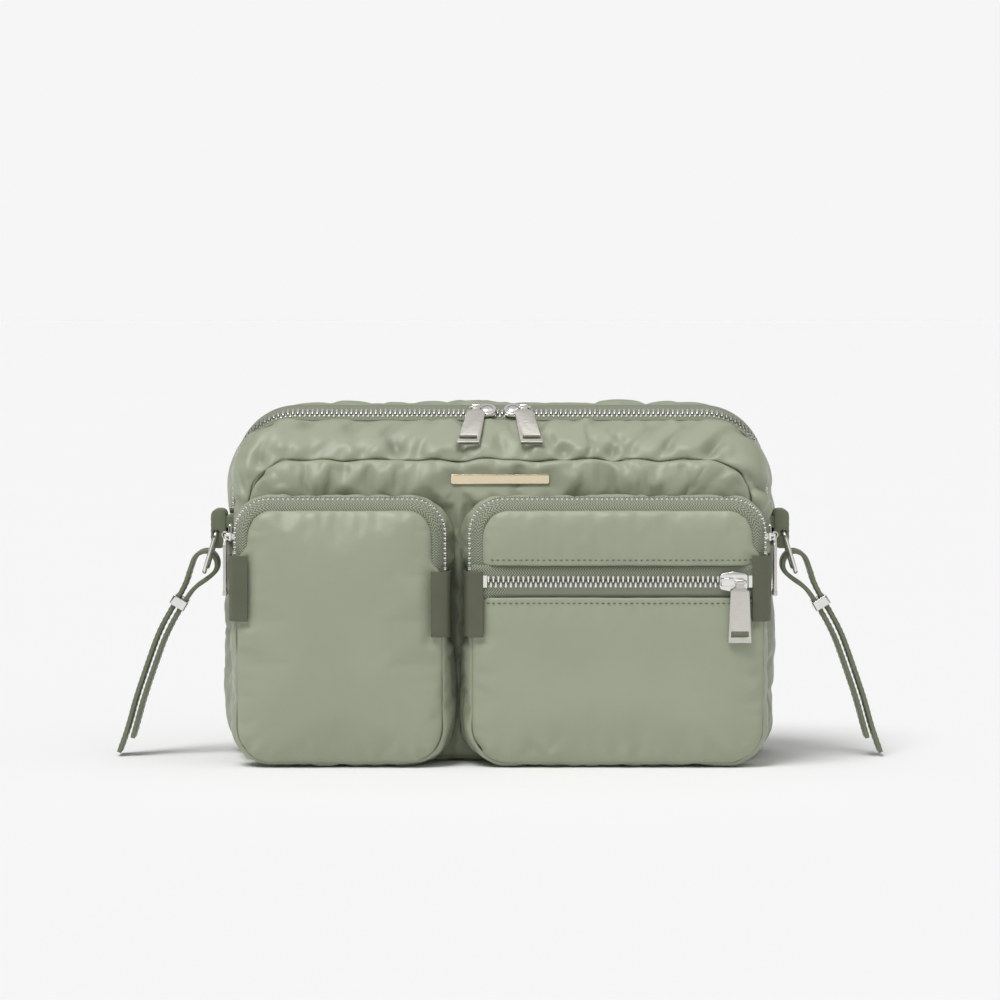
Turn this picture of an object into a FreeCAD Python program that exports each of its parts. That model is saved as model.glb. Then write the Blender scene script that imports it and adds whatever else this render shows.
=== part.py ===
"""Crossbody purse: padded zip-round body, two front pockets and side rings with strap ends.

Millimetres. X runs along the purse's width, Y from its front to its back, Z up.
The origin is on the floor, at the middle of the purse's base.
"""
import FreeCAD, Part
import math
import os
from collections import namedtuple

V = FreeCAD.Vector
Outline = namedtuple("Outline", "x0 x1 z0 z1 r_top r_bottom")

# ---- driving dimensions ------------------------------------------------------------------
WALL = 2.5                      # padded nylon with its lining
PANEL = 3.0                     # front and back panels, with their foam

FRONT_Y = -20.0                 # outer face of the front panel
ZIP_Y = 10.0                    # middle of the main zip
ZIP_BAND = 14.0                 # slant width that the main zip closes between the gussets
ZIP_TILT = 36.0                 # degrees that the main zip's tape faces forward
CROWN_Y = 30.0                  # where the rear gusset stands highest
BACK_Y = 48.0                   # outer face of the back panel
POCKET_ZIP_Y = -38.5            # middle of each pocket's zip
POCKET_ZIP_BAND = 11.0
FACE_Y = -50.0                  # outer face of the pockets

FRONT_OUTLINE = Outline(-127.5, 127.5, 2.0, 154.0, 22.0, 16.0)
ZIP_OUTLINE = Outline(-136.5, 136.5, -1.0, 176.0, 32.0, 18.0)
CROWN_OUTLINE = Outline(-141.0, 141.0, -1.0, 183.0, 38.0, 18.0)
# The two above dip below the floor, where the base is cut flat.
BACK_OUTLINE = Outline(-134.0, 134.0, 2.0, 174.0, 32.0, 18.0)

LEFT_BASE = Outline(-126.0, -23.0, 3.0, 132.0, 18.0, 18.0)
LEFT_POCKET = Outline(-134.0, -27.0, 1.0, 136.0, 18.0, 20.0)
RIGHT_BASE = Outline(-20.0, 126.0, 3.0, 132.0, 18.0, 18.0)
RIGHT_POCKET = Outline(-16.0, 134.0, 1.0, 136.0, 18.0, 20.0)
FACE_INSET = 4.0                # how far the face's rim slopes in

MAIN_ZIP_END = 125.0            # height at which the main zip stops on each side
OUTER_ZIP_END = 105.0           # the same on the outer side of a pocket
INNER_ZIP_END = 97.0            # and beside the other pocket
BASE_SPLIT = 18.0               # height of the seam between base and side gussets

FRONT_ZIP_Z = 94.0              # middle of the zip across the right pocket's face
FRONT_ZIP_GAP = 16.0
FRONT_ZIP_Y = -47.3
FRONT_ZIP_SLIDER_X = 117.0
FRONT_ZIP_PATH = (-9.0, 127.0)

TOOTH_THICKNESS = 2.5           # of a closed chain, across the tape
TOOTH_WIDTH = 2.4               # of one row of teeth
CHAIN_SLIT = 1.2                # between the two rows
TAPE_THICKNESS = 0.8
CHAIN_DEPTH = 1.25              # from a pocket's outline to the middle of its chain

SLIDER_LENGTH = 14.0
SLIDER_WIDTH = 10.4
SLIDER_PLATE = 1.2
SLIDER_GAP = 0.45               # between each plate and the teeth
ARC_SLIDER_LENGTH = 9.0         # the pocket sliders are shorter, to go round the corners
ARC_SLIDER_GAP = 1.0
ARC_BAIL_SHIFT = -1.0           # their bails are a little below their middles
BRIDGE = 0.6                    # post that joins a slider's plates through the slit
BAIL_BAR = 0.7                  # radius
BAIL_HEIGHT = 2.1               # bar above the plate
KNUCKLE = 1.7                   # outer radius of a pull's eye
KNUCKLE_BORE = 1.0
KNUCKLE_LENGTH = 4.0
PULL_THICKNESS = 1.6
PULL_LENGTH = 30.5
PULL_TOP = 9.4
PULL_BOTTOM = 11.6
PULL_NECK = 0.8                 # from the eye's middle down to the tab's narrow neck
PULL_SHOULDER = 5.0             # and to where the tab is PULL_TOP wide
PULL_LEAN = 4.0                 # how far each main pull's lower end leans outward
PULL_SLOT = (3.0, 4.3)          # height of the slot, and its middle above the tab's end
PULL_RIM = 1.4                  # metal at each side of the slot

MAIN_SLIDER_X = 9.2             # each main slider's distance from the middle
MAIN_BAIL_SHIFT = 3.0           # its bail is nearer the outer end

RING_WIRE = 1.1                 # radius
RING_LENGTH = 21.0              # between the middles of its two bars
RING_WIDTH = 22.0               # between the middles of its two sides
RING_TILT = 17.0                # degrees outward from hanging straight down
TAB_BAR = (-145.6, 115.5)       # x, z of the bar inside the left leather tab
TAB_WIDTH = 18.0
TAB_RADIUS = 3.4
TAB_BORE = 1.6
TAB_Z = (106.5, 124.5)

STRAP_WIDTH = 16.0
STRAP_THICKNESS = 2.2
# Middle line of the left strap end in the plane y = ZIP_Y, as one strip: up the outer layer,
# over the ring's lower bar, and down the inner layer to its rounded end.
STRAP_ROUTE = [
    (-196.2, 2.2), (-191.6, 15.0), (-187.8, 29.5), (-181.3, 48.5), (-175.6, 64.5),
    (-168.4, 77.3), (-161.9, 88.2), (-159.4, 96.5), (-156.6, 104.2), (-150.2, 106.4),
    (-145.6, 102.2), (-145.4, 96.0), (-150.6, 91.4), (-156.6, 87.6), (-161.4, 81.6),
    (-171.8, 63.6), (-177.4, 48.0), (-183.4, 30.6), (-187.0, 17.6), (-189.2, 9.6),
]
KEEPER_AT = (-165.0, 79.3)      # middle of the metal keeper that holds both layers
KEEPER_DIRECTION = (-0.515, -0.857)
KEEPER_LENGTH = 5.0
KEEPER_HEIGHT = 6.8             # clear height for the two layers
KEEPER_METAL = 0.9

LINING = 0.8
LINING_INSET = 6.0              # from a panel's edge to its lining
STIFFENER = ((-112.0, 112.0), (-8.0, 36.0), 2.0)   # x, y and thickness of the board in the base
STIFFENER_GAP = 1.2             # between the board and the base

NAME_BAR = (50.0, 1.2, 5.0)     # plain bar above the pockets
NAME_BAR_Z = 144.0


# ---- outlines, shells and strips ---------------------------------------------------------
def inset(outline, distance):
    """The same rounded rectangle, pulled in on all four sides."""
    return Outline(outline.x0 + distance, outline.x1 - distance,
                   outline.z0 + distance, outline.z1 - distance,
                   outline.r_top - distance, outline.r_bottom - distance)


def widened(outline, distance):
    """The same rounded rectangle, pushed out at its sides and top but not at its base."""
    return Outline(outline.x0 - distance, outline.x1 + distance,
                   outline.z0, outline.z1 + distance,
                   outline.r_top + distance, outline.r_bottom)


def arc(centre, radius, from_degrees, to_degrees):
    """A circular edge in the XZ plane, given by its start and end angles."""
    points = []
    for degrees in (from_degrees, (from_degrees + to_degrees) / 2, to_degrees):
        angle = math.radians(degrees)
        points.append(centre + V(radius * math.cos(angle), 0, radius * math.sin(angle)))
    return Part.Arc(*points).toShape()


def join(edges):
    """One wire from arcs, with straight edges filled in between their ends."""
    chained = []
    last = None
    for edge in edges:
        start, end = edge.firstVertex(True).Point, edge.lastVertex(True).Point
        if last is not None and last.distanceToPoint(start) > 1e-6:
            chained.append(Part.makeLine(last, start))
        chained.append(edge)
        last = end
    return chained, last


def closed_wire(edges):
    chained, last = join(edges)
    start = chained[0].firstVertex(True).Point
    if last.distanceToPoint(start) > 1e-6:
        chained.append(Part.makeLine(last, start))
    return Part.Wire(chained)


def outline_wire(o, y):
    """A rounded rectangle as a closed wire: anticlockwise, seen from the front."""
    return closed_wire([
        arc(V(o.x1 - o.r_bottom, y, o.z0 + o.r_bottom), o.r_bottom, -90, 0),
        arc(V(o.x1 - o.r_top, y, o.z1 - o.r_top), o.r_top, 0, 90),
        arc(V(o.x0 + o.r_top, y, o.z1 - o.r_top), o.r_top, 90, 180),
        arc(V(o.x0 + o.r_bottom, y, o.z0 + o.r_bottom), o.r_bottom, 180, 270),
    ])


def loft(sections):
    """A solid through (outline, y) pairs, straight between neighbours."""
    return Part.makeLoft([outline_wire(o, y) for o, y in sections], True, True)


def tube(sections, wall):
    """The wall of a loft, open at both of its ends."""
    inner = [(inset(o, wall), y) for o, y in sections]
    return loft(sections).cut(loft(inner))


def box(x, y, z):
    """A box from three (low, high) pairs."""
    return Part.makeBox(x[1] - x[0], y[1] - y[0], z[1] - z[0], V(x[0], y[0], z[0]))


def side_strip(o, profile, sign, z_from, z_to):
    """A (y, depth) profile run straight up or down one side of an outline."""
    edge = o.x0 if sign < 0 else o.x1
    points = [V(edge - sign * depth, y, z_from) for y, depth in profile]
    face = Part.Face(Part.makePolygon(points + points[:1]))
    return face.extrude(V(0, 0, z_to - z_from))


def arch_strip(o, profile, ends):
    """A (y, depth) profile that follows an outline up one side, over its top and down."""
    spring = o.z1 - o.r_top
    left, right = V(o.x0 + o.r_top, 0, spring), V(o.x1 - o.r_top, 0, spring)
    points = [V(left.x, y, o.z1 - depth) for y, depth in profile]
    section = Part.Face(Part.makePolygon(points + points[:1]))
    far_section = section.translated(V(right.x - left.x, 0, 0))
    pieces = [
        side_strip(o, profile, -1, spring, ends[0]),
        section.revolve(left, V(0, -1, 0), 90),
        section.extrude(V(right.x - left.x, 0, 0)),
        far_section.revolve(right, V(0, 1, 0), 90),
        side_strip(o, profile, 1, spring, ends[1]),
    ]
    return pieces[0].fuse(pieces[1:]).removeSplitter()


def smooth_path(points, y):
    """Straight runs joined by tangent arcs, each as large as its two runs allow."""
    corners = [V(x, y, z) for x, z in points]
    edges = []
    start = corners[0]
    for before, corner, after in zip(corners, corners[1:], corners[2:]):
        run_in, run_out = corner - before, after - corner
        turn = run_in.getAngle(run_out)
        shorter = min(run_in.Length, run_out.Length)
        setback = 0.45 * shorter
        radius = setback / math.tan(turn / 2)
        enter = corner - run_in.normalize() * setback
        leave = corner + run_out.normalize() * setback
        middle = corner + (enter + leave - corner * 2).normalize() * (
            radius / math.cos(turn / 2) - radius)
        edges.append(Part.makeLine(start, enter))
        edges.append(Part.Arc(enter, middle, leave).toShape())
        start = leave
    edges.append(Part.makeLine(start, corners[-1]))
    return Part.Wire(edges)


def rounded_polygon(points, radius, thickness):
    """A plate in the XZ plane with round corners, centred on y = 0."""
    corners = [V(x, -thickness / 2, z) for x, z in points]
    count = len(corners)
    edges = []
    for i, corner in enumerate(corners):
        run_in = (corner - corners[i - 1]).normalize()
        run_out = (corners[(i + 1) % count] - corner).normalize()
        turn = run_in.getAngle(run_out)
        setback = radius * math.tan(turn / 2)
        enter, leave = corner - run_in * setback, corner + run_out * setback
        middle = corner + (enter + leave - corner * 2).normalize() * (
            radius / math.cos(turn / 2) - radius)
        edges.append(Part.Arc(enter, middle, leave).toShape())
    return Part.Face(closed_wire(edges)).extrude(V(0, thickness, 0))


def placed(shape, origin, x_dir, z_dir):
    """A part from its own frame, set at origin with its X and Z axes turned."""
    y_dir = z_dir.cross(x_dir)
    matrix = FreeCAD.Matrix(x_dir.x, y_dir.x, z_dir.x, origin.x,
                            x_dir.y, y_dir.y, z_dir.y, origin.y,
                            x_dir.z, y_dir.z, z_dir.z, origin.z,
                            0, 0, 0, 1)
    result = shape.copy()
    result.Placement = FreeCAD.Placement(matrix)
    return result


def mirrored(shape):
    return shape.mirror(V(0, 0, 0), V(1, 0, 0))


# ---- body --------------------------------------------------------------------------------
def zip_edges():
    """The two sewn edges of the main zip, as (outline, y)."""
    tilt = math.radians(ZIP_TILT)
    half_depth = ZIP_BAND / 2 * math.cos(tilt)
    half_rise = ZIP_BAND / 2 * math.sin(tilt)
    return [(widened(ZIP_OUTLINE, -half_rise), ZIP_Y - half_depth),
            (widened(ZIP_OUTLINE, half_rise), ZIP_Y + half_depth)]


def body_sections():
    """Outlines of the body between its front and back panels, as (outline, y)."""
    return ([(FRONT_OUTLINE, FRONT_Y + PANEL)] + zip_edges()
            + [(CROWN_OUTLINE, CROWN_Y), (BACK_OUTLINE, BACK_Y - PANEL)])


def body_parts():
    """Front and back panels, the gussets between them, the base and what lines it."""
    inner_front = FRONT_Y + PANEL
    inner_back = BACK_Y - PANEL
    sections = body_sections()
    front_wall = tube(sections[:2], WALL)
    rear_wall = tube(sections[2:], WALL)
    whole = tube(sections, WALL)

    reach = 300.0
    depth = (FRONT_Y, BACK_Y)
    upper = (MAIN_ZIP_END, reach)
    side = (BASE_SPLIT, MAIN_ZIP_END)
    board_x, board_y, board_thickness = STIFFENER
    board_z = WALL + STIFFENER_GAP
    parts = {
        "front_panel": loft([(FRONT_OUTLINE, FRONT_Y), (FRONT_OUTLINE, inner_front)]),
        "back_panel": loft([(BACK_OUTLINE, inner_back), (BACK_OUTLINE, BACK_Y)]),
        "front_gusset": front_wall.common(box((-reach, reach), depth, upper)),
        "rear_gusset": rear_wall.common(box((-reach, reach), depth, upper)),
        "side_gusset_left": whole.common(box((-reach, 0), depth, side)),
        "side_gusset_right": whole.common(box((0, reach), depth, side)),
        "base_panel": whole.common(box((-reach, reach), depth, (0, BASE_SPLIT))),
        "base_stiffener": box(board_x, board_y, (board_z, board_z + board_thickness)),
    }
    front_edge, back_edge = inset(FRONT_OUTLINE, LINING_INSET), inset(BACK_OUTLINE, LINING_INSET)
    parts["front_lining"] = loft([(front_edge, inner_front), (front_edge, inner_front + LINING)])
    parts["back_lining"] = loft([(back_edge, inner_back - LINING), (back_edge, inner_back)])
    width, thickness, height = NAME_BAR
    parts["name_bar"] = box((-width / 2, width / 2), (FRONT_Y - thickness, FRONT_Y),
                            (NAME_BAR_Z - height / 2, NAME_BAR_Z + height / 2))
    return parts


# ---- zips --------------------------------------------------------------------------------
def arch_zip(name, outline, y, band, tilt, chain_depth, ends):
    """Tapes, two rows of teeth and end stops of a zip that goes round an outline."""
    tilt = math.radians(tilt)

    def profile(along, half_thickness):
        """A rectangle across the tape, from its slant width and thickness, as (y, depth)."""
        corners = [(along[0], -half_thickness), (along[1], -half_thickness),
                   (along[1], half_thickness), (along[0], half_thickness)]
        return [(y + s * math.cos(tilt) - n * math.sin(tilt),
                 chain_depth - s * math.sin(tilt) - n * math.cos(tilt)) for s, n in corners]

    row = CHAIN_SLIT / 2 + TOOTH_WIDTH
    sewn = band / 2 - TAPE_THICKNESS / 2 * math.tan(tilt)
    stop = 3.0
    teeth_ends = tuple(z + stop for z in ends)
    parts = {}
    for side, sign in (("front", -1), ("rear", 1)):
        tape = profile((sign * sewn, sign * row), TAPE_THICKNESS / 2)
        parts[name + "_tape_" + side] = arch_strip(outline, tape, ends)
        teeth = profile((sign * row, sign * CHAIN_SLIT / 2), TOOTH_THICKNESS / 2)
        parts[name + "_teeth_" + side] = arch_strip(outline, teeth, teeth_ends)
    block = profile((-row, row), TOOTH_THICKNESS / 2)
    stops = [side_strip(outline, block, sign, z, z + stop) for sign, z in zip((-1, 1), ends)]
    parts[name + "_stops"] = Part.makeCompound(stops)
    return parts


def front_zip_parts():
    """The straight zip across the right pocket's face."""
    x = FRONT_ZIP_PATH
    row = CHAIN_SLIT / 2 + TOOTH_WIDTH
    tape = (FRONT_ZIP_Y - TAPE_THICKNESS / 2, FRONT_ZIP_Y + TAPE_THICKNESS / 2)
    teeth = (FRONT_ZIP_Y - TOOTH_THICKNESS / 2, FRONT_ZIP_Y + TOOTH_THICKNESS / 2)
    stop = 2.5
    teeth_x = (x[0] + stop, x[1] - stop)
    parts = {}
    for side, sign in (("upper", 1), ("lower", -1)):
        across = sorted((FRONT_ZIP_Z + sign * FRONT_ZIP_GAP / 2, FRONT_ZIP_Z + sign * row))
        parts["front_zip_tape_" + side] = box(x, tape, across)
        across = sorted((FRONT_ZIP_Z + sign * row, FRONT_ZIP_Z + sign * CHAIN_SLIT / 2))
        parts["front_zip_teeth_" + side] = box(teeth_x, teeth, across)
    z = (FRONT_ZIP_Z - row, FRONT_ZIP_Z + row)
    stops = [box((x[0], teeth_x[0]), teeth, z), box((teeth_x[1], x[1]), teeth, z)]
    parts["front_zip_stops"] = Part.makeCompound(stops)
    return parts


def slider(length, gap, bail_shift, bail_across):
    """A zip slider about the middle of its chain: X along the zip, Z out of the tape.

    The bail's bar runs along X, or along Y where bail_across is true.
    """
    half = TOOTH_THICKNESS / 2 + gap
    wide, narrow = SLIDER_WIDTH / 2, SLIDER_WIDTH / 2 - 1.4
    reach = length / 2
    boat = [(-reach, -narrow), (0, -wide), (reach, -narrow),
            (reach, narrow), (0, wide), (-reach, narrow)]
    plate = rounded_polygon(boat, 1.0, SLIDER_PLATE)
    plate.rotate(V(0, 0, 0), V(1, 0, 0), 90)
    upper = plate.translated(V(0, 0, half + SLIDER_PLATE / 2))
    lower = plate.translated(V(0, 0, -half - SLIDER_PLATE / 2))
    post = box((-reach + 1, -reach + 4), (-BRIDGE / 2, BRIDGE / 2), (-half, half))

    top = half + SLIDER_PLATE
    leg_near = KNUCKLE_LENGTH / 2 + 0.4
    leg_far = leg_near + 1.1
    side = 0.9
    bar = Part.makeCylinder(BAIL_BAR, 2 * leg_far, V(-leg_far, 0, top + BAIL_HEIGHT), V(1, 0, 0))
    rise = (top, top + BAIL_HEIGHT + BAIL_BAR + 0.2)
    bail = [bar, box((-leg_far, -leg_near), (-side, side), rise),
            box((leg_near, leg_far), (-side, side), rise)]
    shape = upper.fuse([lower, post])
    for piece in bail:
        if bail_across:
            piece.rotate(V(0, 0, 0), V(0, 0, 1), 90)
        piece.translate(V(bail_shift, 0, 0))
        shape = shape.fuse(piece)
    return shape.removeSplitter()


def bail_height(gap):
    """Height of a bail's bar over the middle of the chain."""
    return TOOTH_THICKNESS / 2 + gap + SLIDER_PLATE + BAIL_HEIGHT


def pull(length, top_width, bottom_width, lean):
    """A slotted metal tab that hangs down Z from an eye around the X axis."""
    neck = KNUCKLE_LENGTH / 2
    outline = [(-neck, -PULL_NECK), (-top_width / 2, -PULL_SHOULDER),
               (lean - bottom_width / 2, -length), (lean + bottom_width / 2, -length),
               (top_width / 2, -PULL_SHOULDER), (neck, -PULL_NECK)]
    plate = rounded_polygon(outline, 0.7, PULL_THICKNESS)
    slot_width = bottom_width - 2 * PULL_RIM
    slot_height, slot_rise = PULL_SLOT
    slot = box((lean - slot_width / 2, lean + slot_width / 2),
               (-PULL_THICKNESS, PULL_THICKNESS),
               (-length + slot_rise - slot_height / 2, -length + slot_rise + slot_height / 2))
    eye = Part.makeCylinder(KNUCKLE, KNUCKLE_LENGTH, V(-KNUCKLE_LENGTH / 2, 0, 0), V(1, 0, 0))
    bore = Part.makeCylinder(KNUCKLE_BORE, 2 * top_width, V(-top_width, 0, 0), V(1, 0, 0))
    return plate.cut(slot).fuse(eye).cut(bore).removeSplitter()


def slider_parts():
    """Every slider and its pull, where they lie with the purse closed."""
    parts = {}
    tilt = math.radians(ZIP_TILT)
    up_slope = V(0, math.cos(tilt), math.sin(tilt))
    off_tape = V(0, -math.sin(tilt), math.cos(tilt))
    for name, sign in (("left", -1), ("right", 1)):
        outward = V(sign, 0, 0)
        at = V(sign * MAIN_SLIDER_X, ZIP_Y, ZIP_OUTLINE.z1)
        body = slider(SLIDER_LENGTH, SLIDER_GAP, MAIN_BAIL_SHIFT, False)
        parts["main_slider_" + name] = placed(body, at, outward, off_tape)
        hinge = at + outward * MAIN_BAIL_SHIFT + off_tape * bail_height(SLIDER_GAP)
        tab = pull(PULL_LENGTH, PULL_TOP, PULL_BOTTOM, PULL_LEAN * sign)
        parts["main_pull_" + name] = placed(tab, hinge, V(1, 0, 0), up_slope)

    outlines = {"left": (LEFT_POCKET, -1), "right": (RIGHT_POCKET, 1)}
    for name, (outline, sign) in outlines.items():
        edge = outline.x0 if sign < 0 else outline.x1
        at = V(edge - sign * CHAIN_DEPTH, POCKET_ZIP_Y, outline.z1 - outline.r_top)
        body = slider(ARC_SLIDER_LENGTH, ARC_SLIDER_GAP, ARC_BAIL_SHIFT, True)
        outward = V(sign, 0, 0)
        parts[name + "_pocket_slider"] = placed(body, at, V(0, 0, 1), outward)
        hinge = at + outward * bail_height(ARC_SLIDER_GAP) + V(0, 0, ARC_BAIL_SHIFT)
        tab = pull(PULL_LENGTH, PULL_TOP, PULL_BOTTOM, 0.0)
        parts[name + "_pocket_pull"] = placed(tab, hinge, V(0, 1, 0), V(0, 0, 1))

    at = V(FRONT_ZIP_SLIDER_X, FRONT_ZIP_Y, FRONT_ZIP_Z)
    body = slider(SLIDER_LENGTH, SLIDER_GAP, MAIN_BAIL_SHIFT, False)
    parts["front_zip_slider"] = placed(body, at, V(1, 0, 0), V(0, -1, 0))
    hinge = at + V(MAIN_BAIL_SHIFT, -bail_height(SLIDER_GAP), 0)
    tab = pull(PULL_LENGTH, PULL_TOP, PULL_BOTTOM, 0.0)
    parts["front_zip_pull"] = placed(tab, hinge, V(1, 0, 0), V(0, 0, 1))
    return parts


# ---- pockets -----------------------------------------------------------------------------
def pocket_gusset(base, outline, ends):
    """A pocket's wall, cut away along the band that its zip closes."""
    zip_rear = POCKET_ZIP_Y + POCKET_ZIP_BAND / 2
    zip_front = POCKET_ZIP_Y - POCKET_ZIP_BAND / 2
    wall = tube([(base, FRONT_Y), (outline, zip_rear), (outline, zip_front)], WALL)
    middle = (outline.x0 + outline.x1) / 2
    reach = 200.0
    for x, z in (((outline.x0 - reach, middle), ends[0]), ((middle, outline.x1 + reach), ends[1])):
        wall = wall.cut(box(x, (zip_front - 1, zip_rear), (z, reach)))
    return wall


def pocket_face(outline):
    """The padded front of a pocket, with a rim that slopes in."""
    rim = POCKET_ZIP_Y - POCKET_ZIP_BAND / 2
    return loft([(outline, rim), (inset(outline, FACE_INSET), FACE_Y)])


def zip_tabs(outline, ends):
    """The stitched tabs over the two ends of a pocket's zip."""
    thickness = 1.3
    height = 33.0
    depth = (POCKET_ZIP_Y - POCKET_ZIP_BAND / 2, POCKET_ZIP_Y + POCKET_ZIP_BAND / 2)
    left = box((outline.x0 - thickness, outline.x0), depth, (ends[0] - height, ends[0]))
    right = box((outline.x1, outline.x1 + thickness), depth, (ends[1] - height, ends[1]))
    return Part.makeCompound([left, right])


def pocket_parts():
    parts = {}
    left_ends = (OUTER_ZIP_END, INNER_ZIP_END)
    right_ends = (INNER_ZIP_END, OUTER_ZIP_END)
    parts["left_pocket_gusset"] = pocket_gusset(LEFT_BASE, LEFT_POCKET, left_ends)
    parts["right_pocket_gusset"] = pocket_gusset(RIGHT_BASE, RIGHT_POCKET, right_ends)
    parts["left_pocket_zip_tabs"] = zip_tabs(LEFT_POCKET, left_ends)
    parts["right_pocket_zip_tabs"] = zip_tabs(RIGHT_POCKET, right_ends)
    for name, outline, ends in (("left", LEFT_POCKET, left_ends),
                                ("right", RIGHT_POCKET, right_ends)):
        parts.update(arch_zip(name + "_pocket_zip", outline, POCKET_ZIP_Y, POCKET_ZIP_BAND,
                              0.0, CHAIN_DEPTH, ends))
    parts["left_pocket_face"] = pocket_face(LEFT_POCKET)

    face = pocket_face(RIGHT_POCKET)
    reach = 200.0
    depth = (FACE_Y - 1, FRONT_Y)
    gap = (FRONT_ZIP_Z - FRONT_ZIP_GAP / 2, FRONT_ZIP_Z + FRONT_ZIP_GAP / 2)
    window = box(FRONT_ZIP_PATH, depth, gap)
    face = face.cut(window)
    parts["right_pocket_face_upper"] = face.common(box((-reach, reach), depth, (FRONT_ZIP_Z, reach)))
    parts["right_pocket_face_lower"] = face.common(box((-reach, reach), depth, (0, FRONT_ZIP_Z)))
    return parts


# ---- side tabs, rings and strap ends -----------------------------------------------------
def loop_tab():
    """The left leather tab: sewn to the side, and folded around the ring's upper bar."""
    x, z = TAB_BAR
    sewn = ZIP_OUTLINE.x0 + 8.0
    shoulder = CROWN_OUTLINE.x0 - 1.5
    outline = [(sewn, TAB_Z[0]), (sewn, TAB_Z[1]), (shoulder, TAB_Z[1]),
               (x - TAB_RADIUS, z + 2.6), (x - TAB_RADIUS, z - 2.6), (shoulder, TAB_Z[0])]
    tab = rounded_polygon(outline, 0.8, TAB_WIDTH).translated(V(0, ZIP_Y, 0))
    bore = Part.makeCylinder(TAB_BORE, 2 * TAB_WIDTH, V(x, ZIP_Y - TAB_WIDTH, z), V(0, 1, 0))
    return tab.cut(bore).cut(loft(body_sections()))


def ring():
    """The left ring: a rounded rectangle of wire, hanging from the bar in the tab."""
    half = RING_WIDTH / 2
    bend = 3.0
    points = [(-half, 0), (half, 0), (half, -RING_LENGTH), (-half, -RING_LENGTH)]
    corners = [V(x, 0, z) for x, z in points]
    edges = []
    for i, corner in enumerate(corners):
        run_in = (corner - corners[i - 1]).normalize()
        run_out = (corners[(i + 1) % 4] - corner).normalize()
        enter, leave = corner - run_in * bend, corner + run_out * bend
        centre = enter + run_out * bend
        middle = centre + (corner - centre).normalize() * bend
        edges.append(Part.Arc(enter, middle, leave).toShape())
    path = closed_wire(edges)
    start = path.Vertexes[0].Point
    tangent = path.Edges[0].tangentAt(path.Edges[0].FirstParameter)
    section = Part.Wire(Part.makeCircle(RING_WIRE, start, tangent))
    hoop = path.makePipeShell([section], True, False)
    tilt = math.radians(RING_TILT)
    down = V(-math.sin(tilt), 0, -math.cos(tilt))
    x, z = TAB_BAR
    return placed(hoop, V(x, ZIP_Y, z), V(0, 1, 0), down * -1)


def strap_end():
    """The left strap end: one strip, doubled back through the ring."""
    path = smooth_path(STRAP_ROUTE, ZIP_Y)
    start = path.Vertexes[0].Point
    tangent = path.Edges[0].tangentAt(path.Edges[0].FirstParameter)
    across = V(0, 1, 0)
    normal = tangent.cross(across).normalize()
    corners = [start + across * (a * STRAP_WIDTH / 2) + normal * (b * STRAP_THICKNESS / 2)
               for a, b in ((-1, -1), (1, -1), (1, 1), (-1, 1), (-1, -1))]
    strip = path.makePipeShell([Part.makePolygon(corners)], True, False)
    below = box((-250, -100), (-50, 50), (-20, 0.6))
    return strip.cut(below)


def keeper():
    """The left metal keeper: a flat loop round both layers of the strap."""
    height = KEEPER_HEIGHT / 2
    width = STRAP_WIDTH / 2 + 0.5
    length = KEEPER_LENGTH / 2
    outer = box((-height - KEEPER_METAL, height + KEEPER_METAL),
                (-width - KEEPER_METAL, width + KEEPER_METAL), (-length, length))
    hole = box((-height, height), (-width, width), (-length - 1, length + 1))
    along = V(-KEEPER_DIRECTION[0], 0, -KEEPER_DIRECTION[1]).normalize()
    x, z = KEEPER_AT
    return placed(outer.cut(hole), V(x, ZIP_Y, z), V(0, 1, 0).cross(along), along)


def carry_parts():
    parts = {}
    for name, shape in (("loop_tab", loop_tab()), ("ring", ring()),
                        ("strap_end", strap_end()), ("strap_keeper", keeper())):
        parts[name + "_left"] = shape
        parts[name + "_right"] = mirrored(shape)
    return parts


# ---- output ------------------------------------------------------------------------------
def main():
    parts = {}
    parts.update(body_parts())
    parts.update(arch_zip("main_zip", ZIP_OUTLINE, ZIP_Y, ZIP_BAND, ZIP_TILT, 0.0,
                          (MAIN_ZIP_END, MAIN_ZIP_END)))
    parts.update(pocket_parts())
    parts.update(front_zip_parts())
    parts.update(slider_parts())
    parts.update(carry_parts())
    os.makedirs("parts", exist_ok=True)
    for name, shape in parts.items():
        shape.exportStep("parts/" + name + ".step")
        b = shape.BoundBox
        print("%-26s solids %d valid %s volume %9.1f x %7.1f %7.1f y %6.1f %6.1f z %6.1f %6.1f" % (
            name, len(shape.Solids), shape.isValid(), shape.Volume,
            b.XMin, b.XMax, b.YMin, b.YMax, b.ZMin, b.ZMax))


main()
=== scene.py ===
"""Looks of the crossbody purse: padded satin nylon, metal zips, and leather at the sides.

Lengths in this script are in millimetres until a mesh is made, and MM turns them into metres.
X runs along the purse's width, Y from its front to its back, Z up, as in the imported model.
"""
import math
from collections import namedtuple

import bmesh
import bpy
import numpy as np
from mathutils import Matrix, Vector


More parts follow.
